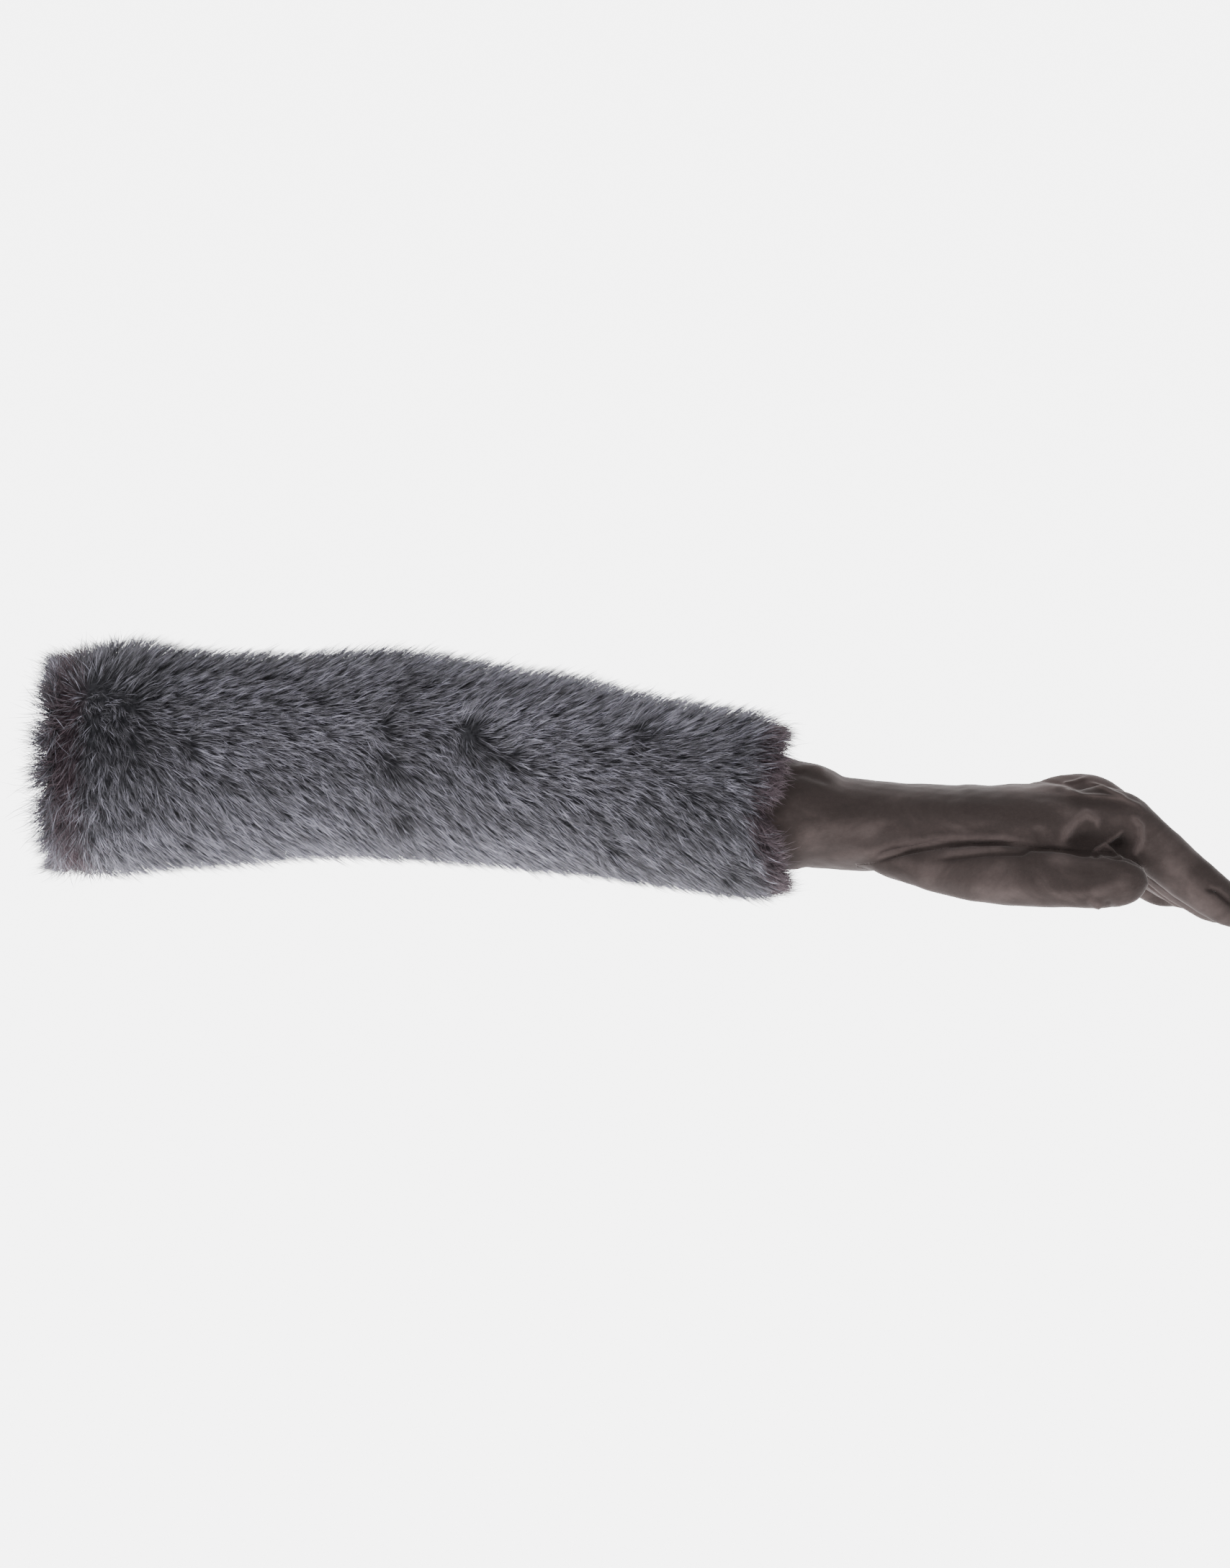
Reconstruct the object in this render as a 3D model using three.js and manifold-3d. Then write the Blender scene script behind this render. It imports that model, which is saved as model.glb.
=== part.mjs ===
// A woman's long suede dress glove for the left hand, with a fur cuff that covers the glove's arm.
// It has the form that it keeps when it is worn: the glove's arm runs along +X, its back is up (+Z), the
// thumb is on the -Y side and the fingers bend down at the knuckles. Millimetres.
// The origin is the centre of the glove's opening.
//
// The suede is one hollow skin. It is cut along its seams into the trank (suede_hand), the thumb and three
// fourchettes, the strips between the fingers. The fur cuff is a pelt sleeve with its locks fused to it.

import * as THREE from "three";
import { mergeVertices } from "three/addons/utils/BufferGeometryUtils.js";
import Module from "manifold-3d";

const wasm = await Module();
wasm.setup();

// Driving dimensions of the suede.
const ARM_LENGTH = 381; // from the arm opening to the wrist, along X
const ARM_DROP = 29.2; // how far the wrist lies below the opening's centre
const ARM_ACROSS = 81; // over the upper arm
const WRIST_TALL = 43.8; // from the back of the wrist to its inner side
const WRIST_WIDE = 60;
const PALM_LENGTH = 117; // from the wrist to the knuckles
const PALM_TALL = 32; // thickness of the hand between palm and back
const FINGER_WIDE = 20; // each finger, side to side
const FINGER_TALL = 24.4; // each finger, from its back to its pad
const FINGER_GAP = 1.3; // between two fingers at the knuckles
const INDEX_LENGTH = 82.5; // each from the knuckle's centre to the tip
const MIDDLE_LENGTH = 89;
const RING_LENGTH = 81;
const LITTLE_LENGTH = 70;
const KNUCKLE_BEND = 44; // degrees that the fingers and their web point down
const ROOT_RISE = 24; // degrees that they rise out of the palm behind the knuckles
const WEB_LENGTH = 22; // from the knuckles to where the fingers part
const THUMB_LENGTH = 135; // from the heel of the hand to the thumb's tip
const THUMB_TALL = 26.6;
const THUMB_WIDE = 25;
const SUEDE_WALL = 1.2;

// Driving dimensions of the seams.
const SEAM_GAP = 0.3; // between two pieces of suede that are sewn together
const SEAM_LAP = 0.8; // how far the thumb's piece reaches past the thumb itself
const FOURCHETTE_WIDE = 6.6; // across a pair of strips, measured over both

// Driving dimensions of the fur cuff.
const CUFF_LENGTH = 340;
const CUFF_START = 1; // the pelt's hem, past the suede's own edge
const PELT_GAP = 0.6; // between the pelt and the suede
const PELT_WALL = 1.6;
const PELT_STANDOFF = 4.4; // how far the cuff's mouth stands off the wrist
const UNDERFUR_DEPTH = 5; // dense short hair on the pelt
const PILE_DEPTH = 12.5; // from the pelt's inner side to the tips of the locks
const LOCK_PITCH = 18; // between two rows of locks, along the arm
const LOCKS_AROUND = 17; // in each row
const LOCK_HANG = 0.1; // radians that the tips hang down at the sides
const LOCK_VARIETY = 0.2; // by what share the locks differ
const TIP_REACH = 11; // how far each tip stands forward
const PARTING = 0.035; // where the hair parts to both ways, as a share of CUFF_LENGTH
const HEM_REACH = -0.012; // where the hem's own row stands, likewise
const HEM_PILE = 0.7; // how deep that row is, as a share of the others

// Facets.
const ARM_SIDES = 24;
const FINGER_SIDES = 12;
const THUMB_SIDES = 14;
const THUMB_RINGS = 12;
const FINEST = 0.03; // details smaller than this are left out

const RADIANS = Math.PI / 180;
const FINGER_PITCH = FINGER_WIDE + FINGER_GAP;
const PALM_WIDE = 4 * FINGER_PITCH;
const SIDEWAYS = new THREE.Vector3(0, 1, 0);

const mix = (a, b, t) => a + (b - a) * t;

function smoothstep(from, to, x) {
  const t = THREE.MathUtils.clamp((x - from) / (to - from), 0, 1);
  return t * t * (3 - 2 * t);
}

// A column of a table at a place between its rows: a cubic through the rows, by the column named key.
function readTable(rows, key, column, at) {
  const last = rows.length - 1;
  const place = THREE.MathUtils.clamp(at, rows[0][key], rows[last][key]);
  let i = 0;
  while (i < last - 1 && place > rows[i + 1][key]) i += 1;
  const slope = (k) => {
    const a = rows[Math.max(k - 1, 0)];
    const b = rows[Math.min(k + 1, last)];
    return (b[column] - a[column]) / (b[key] - a[key]);
  };
  const span = rows[i + 1][key] - rows[i][key];
  const t = (place - rows[i][key]) / span;
  const t2 = t * t;
  const t3 = t2 * t;
  return (
    (2 * t3 - 3 * t2 + 1) * rows[i][column] +
    (t3 - 2 * t2 + t) * span * slope(i) +
    (3 * t2 - 2 * t3) * rows[i + 1][column] +
    (t3 - t2) * span * slope(i + 1)
  );
}

// The arm's sections. along and drop are shares of ARM_LENGTH and ARM_DROP. tall and wide say how far the
// section has gone from the upper arm's size to the wrist's.
const ARM_ROWS = [
  { along: 0.0, drop: 0.0, tall: 0.0, wide: 0.0 },
  { along: 0.196, drop: -0.07, tall: 0.09, wide: 0.13 },
  { along: 0.304, drop: -0.13, tall: 0.2, wide: 0.26 },
  { along: 0.402, drop: -0.15, tall: 0.14, wide: 0.12 },
  { along: 0.482, drop: -0.05, tall: 0.18, wide: 0.2 },
  { along: 0.554, drop: 0.06, tall: 0.29, wide: 0.35 },
  { along: 0.625, drop: 0.17, tall: 0.34, wide: 0.45 },
  { along: 0.696, drop: 0.35, tall: 0.44, wide: 0.55 },
  { along: 0.768, drop: 0.49, tall: 0.52, wide: 0.64 },
  { along: 0.839, drop: 0.65, tall: 0.61, wide: 0.75 },
  { along: 0.875, drop: 0.76, tall: 0.68, wide: 0.8 },
  { along: 0.905, drop: 0.82, tall: 0.76, wide: 0.87 },
  { along: 0.934, drop: 0.85, tall: 0.85, wide: 0.94 },
  { along: 0.955, drop: 0.94, tall: 0.97, wide: 0.99 },
  { along: 0.969, drop: 0.965, tall: 1.0, wide: 1.0 },
];

// The hand's sections. along is a share of PALM_LENGTH from the wrist, rise a share of WRIST_TALL above the
// wrist's centre. tall and wide go from the wrist's size to the palm's. square is the rounding's power.
const PALM_ROWS = [
  { along: 0.0, rise: 0.0, tall: 0.0, wide: 0.0, square: 2.0 },
  { along: 0.116, rise: 0.008, tall: 0.26, wide: 0.1, square: 2.1 },
  { along: 0.232, rise: 0.032, tall: 0.55, wide: 0.28, square: 2.2 },
  { along: 0.406, rise: 0.055, tall: 0.89, wide: 0.6, square: 2.4 },
  { along: 0.58, rise: 0.07, tall: 1.0, wide: 0.9, square: 2.5 },
  { along: 0.754, rise: 0.07, tall: 1.0, wide: 1.0, square: 2.5 },
  { along: 0.899, rise: 0.062, tall: 1.06, wide: 1.0, square: 2.5 },
];

// The web past the knuckles follows the fingers. along is a share of WEB_LENGTH, tall of PALM_TALL.
const WEB_ROWS = [
  { along: 0.0, tall: 0.87, wide: 0.99 },
  { along: 0.5, tall: 0.72, wide: 0.965 },
  { along: 0.86, tall: 0.5, wide: 0.95 },
  { along: 1.0, tall: 0.28, wide: 0.93 },
];

// Each finger's knuckle: back is how far it lies behind the palm's end as a share of PALM_LENGTH, low its
// depth below the palm's end as a share of FINGER_TALL, place its number of pitches from the hand's middle.
// bend is its share of KNUCKLE_BEND, lift how many degrees the tip turns back up, fan how many the finger
// turns outwards.
const FINGER_ROWS = [
  { name: "index", length: INDEX_LENGTH, back: 0.027, low: 0.0, place: -1.5, tall: 1.0, wide: 1.0, bend: 0.99, lift: 22, fan: -1.7 },
  { name: "middle", length: MIDDLE_LENGTH, back: 0.095, low: -0.27, place: -0.5, tall: 0.98, wide: 1.0, bend: 1.03, lift: 23, fan: -0.5 },
  { name: "ring", length: RING_LENGTH, back: 0.116, low: -0.2, place: 0.5, tall: 0.93, wide: 0.98, bend: 1.03, lift: 30, fan: 0.7 },
  { name: "little", length: LITTLE_LENGTH, back: 0.125, low: -0.04, place: 1.5, tall: 0.8, wide: 0.9, bend: 1.16, lift: 44, fan: 2.4 },
];

// A finger's thickness along its length from the knuckle. It starts inside the hand.
const FINGER_SIZES = [
  { along: -0.34, size: 0.66 },
  { along: -0.22, size: 0.84 },
  { along: -0.1, size: 1.0 },
  { along: 0.01, size: 1.02 },
  { along: 0.11, size: 1.02 },
  { along: 0.22, size: 1.0 },
  { along: 0.4, size: 1.0 },
  { along: 0.58, size: 0.96 },
  { along: 0.74, size: 0.89 },
  { along: 0.86, size: 0.83 },
  { along: 0.935, size: 0.8 },
  { along: 0.98, size: 0.78 },
  { along: 1.0, size: 0.78 },
];

// The thumb's sections. along is a share of THUMB_LENGTH, low a share of WRIST_TALL below the wrist's centre,
// out a share of PALM_WIDE towards -Y, tall and wide shares of the thumb's own sizes. seam is how high over
// the section's centre its piece of suede is sewn to the trank, as a share of half the section's height.
const THUMB_ROWS = [
  { along: 0.0, low: 0.33, out: 0.13, tall: 0.3, wide: 0.5, seam: -0.93 },
  { along: 0.139, low: 0.415, out: 0.235, tall: 0.6, wide: 1.06, seam: 0.66 },
  { along: 0.264, low: 0.44, out: 0.285, tall: 0.91, wide: 1.2, seam: 0.76 },
  { along: 0.466, low: 0.49, out: 0.35, tall: 1.145, wide: 1.2, seam: 0.93 },
  { along: 0.642, low: 0.56, out: 0.43, tall: 1.0, wide: 1.04, seam: 1.06 },
  { along: 0.819, low: 0.575, out: 0.505, tall: 0.97, wide: 0.94, seam: 1.06 },
  { along: 1.0, low: 0.58, out: 0.56, tall: 0.9, wide: 0.86, seam: 1.06 },
];
const THUMB_START = -0.013; // along X from the wrist, in palm lengths

// A section: its centre, the directions of its width and height, half its sizes and its rounding's power.
function section(centre, side, up, wide, tall, square = 2) {
  return { centre, side, up, wide, tall, square };
}

// The points of a section: an ellipse, or a squarer one for a power above 2.
function sectionPoints(s, sides) {
  const points = [];
  for (let k = 0; k < sides; k += 1) {
    const turn = (2 * Math.PI * (k + 0.5)) / sides;
    const c = Math.cos(turn);
    const n = Math.sin(turn);
    const across = Math.sign(c) * Math.abs(c) ** (2 / s.square) * s.wide;
    const high = Math.sign(n) * Math.abs(n) ** (2 / s.square) * s.tall;
    points.push(s.centre.clone().addScaledVector(s.side, across).addScaledVector(s.up, high));
  }
  return points;
}

// A closed solid from indexed points.
function solidFrom(points, triangles) {
  const flat = new Float32Array(points.length * 3);
  points.forEach((p, i) => p.toArray(flat, i * 3));
  const geometry = new THREE.BufferGeometry();
  geometry.setAttribute("position", new THREE.BufferAttribute(flat, 3));
  geometry.setIndex(triangles);
  const merged = mergeVertices(geometry, 1e-4);
  return new wasm.Manifold(
    new wasm.Mesh({
      numProp: 3,
      vertProperties: merged.attributes.position.array,
      triVerts: new Uint32Array(merged.index.array),
    }),
  );
}

// A solid lofted through rings of points, all with the same count, with a flat end at both.
function loftRings(rings) {
  const sides = rings[0].length;
  const points = rings.flat();
  const triangles = [];
  const at = (ring, k) => ring * sides + (k % sides);
  for (let ring = 0; ring < rings.length - 1; ring += 1) {
    for (let k = 0; k < sides; k += 1) {
      triangles.push(at(ring, k), at(ring + 1, k + 1), at(ring + 1, k));
      triangles.push(at(ring, k), at(ring, k + 1), at(ring + 1, k + 1));
    }
  }
  const middleOf = (ring) => ring.reduce((sum, p) => sum.add(p), new THREE.Vector3()).divideScalar(sides);
  const end = rings.length - 1;
  const first = points.push(middleOf(rings[0])) - 1;
  const last = points.push(middleOf(rings[end])) - 1;
  for (let k = 0; k < sides; k += 1) {
    triangles.push(first, at(0, k + 1), at(0, k));
    triangles.push(last, at(end, k), at(end, k + 1));
  }
  return solidFrom(points, triangles);
}

const loft = (sections, sides) => loftRings(sections.map((s) => sectionPoints(s, sides)));

// The same sections with their surface moved out by a distance.
const grow = (sections, by) =>
  sections.map((s) => ({ ...s, centre: s.centre.clone(), wide: s.wide + by, tall: s.tall + by }));

// The hollow inside a wall: sections moved in by its thickness, without those of a round tip that would
// vanish, and with the last one drawn back by the wall.
function hollowOf(sections, wall) {
  const inner = grow(sections, -wall).filter((s) => Math.min(s.wide, s.tall) > 0.8 * wall);
  const last = inner[inner.length - 1];
  const back = inner[inner.length - 2].centre.clone().sub(last.centre).normalize();
  last.centre.addScaledVector(back, wall);
  return inner;
}

// Sections along a path of centres, each square to the path and with its width level.
function alongPath(centres, sizes) {
  return centres.map((centre, i) => {
    const before = centres[Math.max(i - 1, 0)];
    const after = centres[Math.min(i + 1, centres.length - 1)];
    const ahead = after.clone().sub(before).normalize();
    const side = SIDEWAYS.clone().addScaledVector(ahead, -ahead.y).normalize();
    const up = new THREE.Vector3().crossVectors(ahead, side);
    const { wide, tall, square } = sizes[i];
    return section(centre, side, up, wide, tall, square);
  });
}

// The share of its full size that a round tip has at a share of the length, for a tip as long as round.
function tipShare(at, round) {
  const t = THREE.MathUtils.clamp((at - (1 - round)) / round, 0, 1);
  return Math.sqrt(Math.max(1 - t * t, 0.02));
}

// The height of the arm's centre line at a place along X.
const armDrop = (x) => ARM_DROP * readTable(ARM_ROWS, "along", "drop", x / ARM_LENGTH);
const armTall = (x) =>
  mix(ARM_ACROSS, WRIST_TALL, readTable(ARM_ROWS, "along", "tall", x / ARM_LENGTH)) / 2;
const armWide = (x) =>
  mix(ARM_ACROSS, WRIST_WIDE, readTable(ARM_ROWS, "along", "wide", x / ARM_LENGTH)) / 2;

const WRIST = new THREE.Vector3(ARM_LENGTH, 0, -ARM_DROP);
const KNUCKLE = new THREE.Vector3(ARM_LENGTH + PALM_LENGTH, 0, -ARM_DROP + 0.123 * WRIST_TALL);

// Where the arm's sections stand along X: at each row of the table, and between rows that are far apart.
const ARM_STATIONS = ARM_ROWS.flatMap((row, i) => {
  const next = ARM_ROWS[i + 1] ?? row;
  const parts = Math.max(Math.round((next.along - row.along) / 0.065), 1);
  return Array.from({ length: next === row ? 1 : parts }, (_, k) => mix(row.along, next.along, k / parts) * ARM_LENGTH);
});

// A finger's slope in degrees at a distance past the knuckle, for its share of the bend: it rises out of the
// palm, levels off over the knuckle and bends down from it.
const slopeAt = (distance, bend) =>
  bend * KNUCKLE_BEND * smoothstep(-9, 13, distance) - ROOT_RISE * (1 - smoothstep(-30, -10, distance));

// The arm, palm and web as one run of sections.
function trankSections() {
  const centres = [];
  const sizes = [];
  for (const x of ARM_STATIONS) {
    centres.push(new THREE.Vector3(x, 0, -armDrop(x)));
    sizes.push({ wide: armWide(x), tall: armTall(x), square: 2 });
  }
  for (const row of PALM_ROWS.slice(1)) {
    centres.push(
      new THREE.Vector3(WRIST.x + row.along * PALM_LENGTH, 0, WRIST.z + row.rise * WRIST_TALL),
    );
    sizes.push({
      wide: mix(WRIST_WIDE, PALM_WIDE, row.wide) / 2,
      tall: mix(WRIST_TALL, PALM_TALL, row.tall) / 2,
      square: row.square,
    });
  }
  const start = centres[centres.length - 1];
  const joint = KNUCKLE.clone();
  joint.z = start.z - 0.12 * PALM_TALL;
  for (const row of WEB_ROWS) {
    const distance = row.along * WEB_LENGTH;
    const slope = KNUCKLE_BEND * RADIANS * (0.5 + 0.5 * row.along);
    centres.push(
      new THREE.Vector3(
        joint.x + distance * Math.cos(slope),
        0,
        joint.z - distance * Math.sin(slope),
      ),
    );
    sizes.push({ wide: (row.wide * PALM_WIDE) / 2, tall: (row.tall * PALM_TALL) / 2, square: 2.4 });
  }
  return alongPath(centres, sizes);
}

// One finger: its centre line starts inside the hand, bends down at the knuckle and rises at its tip.
function fingerSections(row) {
  const root = FINGER_SIZES[0].along * row.length;
  const fan = row.fan * RADIANS;
  const steps = 134;
  const step = (row.length - root) / steps;
  const line = [];
  const point = new THREE.Vector3();
  for (let i = 0; i <= steps; i += 1) {
    const distance = root + i * step;
    line.push(point.clone());
    const lifted = row.lift * Math.max(distance / row.length, 0) ** 3;
    const slope = (slopeAt(distance, row.bend) - lifted) * RADIANS;
    const outwards = distance > 0 ? fan : 0;
    point.x += step * Math.cos(slope) * Math.cos(outwards);
    point.y += step * Math.sin(outwards);
    point.z -= step * Math.sin(slope) * Math.cos(outwards);
  }
  const pointAt = (along) => line[Math.round((along * row.length - root) / step)].clone();
  const shift = KNUCKLE.clone().sub(pointAt(0));
  shift.x -= row.back * PALM_LENGTH;
  shift.y += row.place * FINGER_PITCH;
  shift.z -= row.low * FINGER_TALL;
  const round = (0.62 * FINGER_TALL) / row.length;
  const centres = FINGER_SIZES.map(({ along }) => pointAt(along).add(shift));
  const sizes = FINGER_SIZES.map(({ along, size }) => ({
    wide: (row.wide * FINGER_WIDE * size * tipShare(along, round)) / 2,
    tall: (row.tall * FINGER_TALL * size * tipShare(along, round)) / 2,
    square: 2,
  }));
  return alongPath(centres, sizes);
}

// The thumb's sections, and the height of the seam over the centre of each.
function thumbSections() {
  const centres = [];
  const sizes = [];
  const seams = [];
  const round = (0.6 * THUMB_TALL) / THUMB_LENGTH;
  for (let i = 0; i <= THUMB_RINGS; i += 1) {
    const at = Math.sin(((i / THUMB_RINGS) * Math.PI) / 2) ** 1.1;
    const read = (column) => readTable(THUMB_ROWS, "along", column, at);
    centres.push(
      new THREE.Vector3(
        WRIST.x + THUMB_START * PALM_LENGTH + at * THUMB_LENGTH,
        -read("out") * PALM_WIDE,
        WRIST.z - read("low") * WRIST_TALL,
      ),
    );
    const tip = tipShare(at, round);
    sizes.push({
      wide: (read("wide") * THUMB_WIDE * tip) / 2,
      tall: (read("tall") * THUMB_TALL * tip) / 2,
      square: 2.1,
    });
    seams.push(read("seam") * sizes[i].tall);
  }
  return { sections: alongPath(centres, sizes), seams };
}

// The region that holds the thumb's piece, grown by an extra distance for the gap at its seam.
function thumbRegion(thumb, extra) {
  const reach = SEAM_LAP + extra;
  const cuts = thumb.sections.map((s, i) => {
    const top = thumb.seams[i];
    const bottom = -s.tall - SEAM_LAP;
    return {
      ...s,
      centre: s.centre.clone().addScaledVector(s.up, (top + bottom) / 2),
      wide: s.wide + reach,
      tall: Math.max((top - bottom) / 2, 0.5) + extra,
      square: 3,
    };
  });
  const ends = [cuts[0], cuts[1], cuts[cuts.length - 2], cuts[cuts.length - 1]];
  ends[0].centre.addScaledVector(ends[0].centre.clone().sub(ends[1].centre).normalize(), extra);
  ends[3].centre.addScaledVector(ends[3].centre.clone().sub(ends[2].centre).normalize(), reach);
  return loft(cuts, THUMB_SIDES);
}

// The slab between two fingers that holds their fourchette, grown by an extra distance.
function fourchetteRegion(first, second, extra) {
  const knuckle = KNUCKLE.clone();
  knuckle.x -= 0.5 * (first.back + second.back) * PALM_LENGTH;
  const middle = 0.5 * (first.place + second.place) * FINGER_PITCH;
  const fan = 0.5 * (first.fan + second.fan) * RADIANS;
  const slope = KNUCKLE_BEND * RADIANS;
  const ahead = new THREE.Vector3(Math.cos(slope), 0, -Math.sin(slope));
  const up = new THREE.Vector3(Math.sin(slope), 0, Math.cos(slope));
  const webEnd = WEB_ROWS[WEB_ROWS.length - 1].along * WEB_LENGTH;
  const start = KNUCKLE.clone().addScaledVector(ahead, webEnd - 4.5 * SUEDE_WALL - extra);
  const reach = 1.5 * Math.max(first.length, second.length);
  const half = FOURCHETTE_WIDE / 2 + extra;
  const corner = (far, right, high) =>
    start
      .clone()
      .addScaledVector(ahead, far ? reach : 0)
      .addScaledVector(up, (high ? 1 : -1) * 3 * FINGER_TALL)
      .setY(middle + (far ? reach * Math.tan(fan) : 0) + (right ? half : -half));
  const points = [];
  for (const far of [0, 1]) {
    for (const [right, high] of [[0, 0], [1, 0], [1, 1], [0, 1]]) points.push(corner(far, right, high));
  }
  const triangles = [
    0, 2, 1, 0, 3, 2, 4, 5, 6, 4, 6, 7, 0, 1, 5, 0, 5, 4, 1, 2, 6, 1, 6, 5, 2, 3, 7, 2, 7, 6, 3, 0, 4, 3, 4, 7,
  ];
  const made = solidFrom(points, triangles);
  if (made.volume() > 0) return made;
  return solidFrom(points, triangles.reverse());
}

// The whole skin of suede, before it is cut along its seams.
function suedeSkin(trank, fingers, thumb) {
  const outside = [loft(trank, ARM_SIDES), loft(thumb.sections, THUMB_SIDES)];
  const arm = hollowOf(trank, SUEDE_WALL);
  arm[0].centre.x -= 2 * SUEDE_WALL;
  const inside = [loft(arm, ARM_SIDES), loft(hollowOf(thumb.sections, SUEDE_WALL), THUMB_SIDES)];
  for (const finger of fingers) {
    outside.push(loft(finger, FINGER_SIDES));
    inside.push(loft(hollowOf(finger, SUEDE_WALL), FINGER_SIDES));
  }
  const join = (solids) => solids.reduce((a, b) => a.add(b));
  return join(outside).subtract(join(inside));
}

// The largest body of a solid, without the slivers that a cut along a curved face can leave.
function mainBody(solid) {
  const clean = solid.simplify(FINEST);
  return clean.decompose().reduce((a, b) => (b.volume() > a.volume() ? b : a));
}

// How the pelt lies on the suede: tight on the upper arm past a full hem, and off the wrist at its mouth.
// along is a share of CUFF_LENGTH, off and lift are shares of PELT_STANDOFF.
const PELT_ROWS = [
  { along: 0.0, off: 0.1, lift: 0.0 },
  { along: 0.06, off: 0.5, lift: 0.15 },
  { along: 0.1, off: 0.5, lift: 0.4 },
  { along: 0.17, off: 0.12, lift: 0.2 },
  { along: 0.25, off: 0.0, lift: 0.0 },
  { along: 0.6, off: 0.0, lift: 0.0 },
  { along: 0.7, off: 0.2, lift: 0.0 },
  { along: 0.8, off: 0.1, lift: 0.0 },
  { along: 0.9, off: 0.4, lift: 0.1 },
  { along: 1.0, off: 1.0, lift: 0.6 },
];

// The pelt's inner side at a share of the cuff's length.
function peltSection(share) {
  const x = CUFF_START + share * CUFF_LENGTH;
  const room = PELT_GAP + PELT_STANDOFF * readTable(PELT_ROWS, "along", "off", share);
  const lift = PELT_STANDOFF * readTable(PELT_ROWS, "along", "lift", share);
  const centre = new THREE.Vector3(x, 0, -armDrop(x) + lift);
  return section(centre, SIDEWAYS, new THREE.Vector3(0, 0, 1), armWide(x) + room, armTall(x) + room);
}

// A ring of the fur's outer form: a share of the cuff's length, how deep its hair is over the pelt, and
// whether it holds the tips of a row of locks. The tips stand forward, the valleys between them stay back.
function furRing(row, share, tips, lean) {
  const points = [];
  for (let k = 0; k < 2 * LOCKS_AROUND; k += 1) {
    const tip = (k + row) % 2 === 0;
    const turn = (Math.PI * (k + 0.5)) / LOCKS_AROUND;
    const varied = 1 + LOCK_VARIETY * Math.sin(12.9 * row + 78.2 * Math.ceil((k + (row % 2)) / 2));
    let depth = PELT_WALL + UNDERFUR_DEPTH;
    let forward = 0;
    let hang = 0;
    if (tips && tip) {
      depth = PILE_DEPTH * varied * (lean < 0 ? HEM_PILE : 1);
      forward = lean * TIP_REACH * varied;
      hang = -Math.cos(turn) * LOCK_HANG;
    } else if (tips) {
      depth += 0.25 * (PILE_DEPTH - depth);
      forward = -0.35 * lean * TIP_REACH;
    } else if (tip) {
      depth += 0.3 * (PILE_DEPTH - depth);
    }
    const p = peltSection(share);
    const angle = turn + hang;
    points.push(
      new THREE.Vector3(
        p.centre.x + forward,
        Math.cos(angle) * (p.wide + depth),
        p.centre.z + Math.sin(angle) * (p.tall + depth),
      ),
    );
  }
  return points;
}

// The fur cuff: a sleeve whose hair side is made of rows of locks that lean towards the hand and hang down
// the sides, each row half a lock round from the last. The first row leans back over the arm's hem.
function furCuff(trank) {
  const rows = Math.round((CUFF_LENGTH * (1 - PARTING)) / LOCK_PITCH);
  const rings = [furRing(0, 0, false, -1), furRing(0, HEM_REACH, true, -1), furRing(1, PARTING, false, 1)];
  for (let row = 1; row <= rows; row += 1) {
    const share = PARTING + ((1 - PARTING) * row) / rows;
    rings.push(furRing(row, share, true, 1));
    rings.push(furRing(row + 1, share - (0.3 * TIP_REACH) / CUFF_LENGTH, false, 1));
  }
  const hair = loftRings(rings);
  const stations = ARM_STATIONS.map((x) => (x - CUFF_START) / CUFF_LENGTH);
  const inside = [-0.1, ...stations.filter((share) => share > 0.02 && share < 0.97), 1, 1.1];
  const room = inside.map(peltSection);
  return hair.subtract(loft(room, ARM_SIDES)).subtract(loft(grow(trank, PELT_GAP / 2), ARM_SIDES));
}

// A named mesh from a solid, with flat faces.
function meshOf(name, solid, material) {
  const made = mainBody(solid).getMesh();
  const geometry = new THREE.BufferGeometry();
  const count = made.numVert;
  const positions = new Float32Array(count * 3);
  for (let i = 0; i < count; i += 1) {
    for (let axis = 0; axis < 3; axis += 1) {
      positions[i * 3 + axis] = made.vertProperties[i * made.numProp + axis];
    }
  }
  geometry.setAttribute("position", new THREE.BufferAttribute(positions, 3));
  geometry.setIndex(new THREE.BufferAttribute(new Uint32Array(made.triVerts), 1));
  geometry.computeVertexNormals();
  const mesh = new THREE.Mesh(geometry, material);
  mesh.name = name;
  return mesh;
}

const suede = new THREE.MeshStandardMaterial({ color: 0x584e4b, roughness: 0.95, metalness: 0 });
const fur = new THREE.MeshStandardMaterial({ color: 0x6f6d72, roughness: 0.9, metalness: 0 });

const trank = trankSections();
const fingers = FINGER_ROWS.map(fingerSections);
const thumb = thumbSections();
const skin = suedeSkin(trank, fingers, thumb);

const glove = new THREE.Group();
let hand = skin.subtract(thumbRegion(thumb, SEAM_GAP));
glove.add(meshOf("thumb", skin.intersect(thumbRegion(thumb, 0)), suede));
for (let i = 0; i + 1 < FINGER_ROWS.length; i += 1) {
  const [first, second] = [FINGER_ROWS[i], FINGER_ROWS[i + 1]];
  const strip = skin.intersect(fourchetteRegion(first, second, 0));
  hand = hand.subtract(fourchetteRegion(first, second, SEAM_GAP));
  glove.add(meshOf(`fourchette_${first.name}_${second.name}`, strip, suede));
}
glove.add(meshOf("suede_hand", hand, suede));
glove.add(meshOf("fur_cuff", furCuff(trank), fur));

export default glove;
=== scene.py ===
# %% [markdown]
# # A long suede glove with a fur cuff
# This lesson dresses a plain solid model of a glove: a left-hand glove of thin napped suede, in the shape
# that it keeps when it is worn, with a deep sleeve of grey fur from the wrist to above the elbow.
# Everything is in metres. +X runs along the glove to the fingers, +Z is the back of the hand's side and the
# thumb is on the -Y side, which is the side that the camera sees.

from itertools import compress

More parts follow.
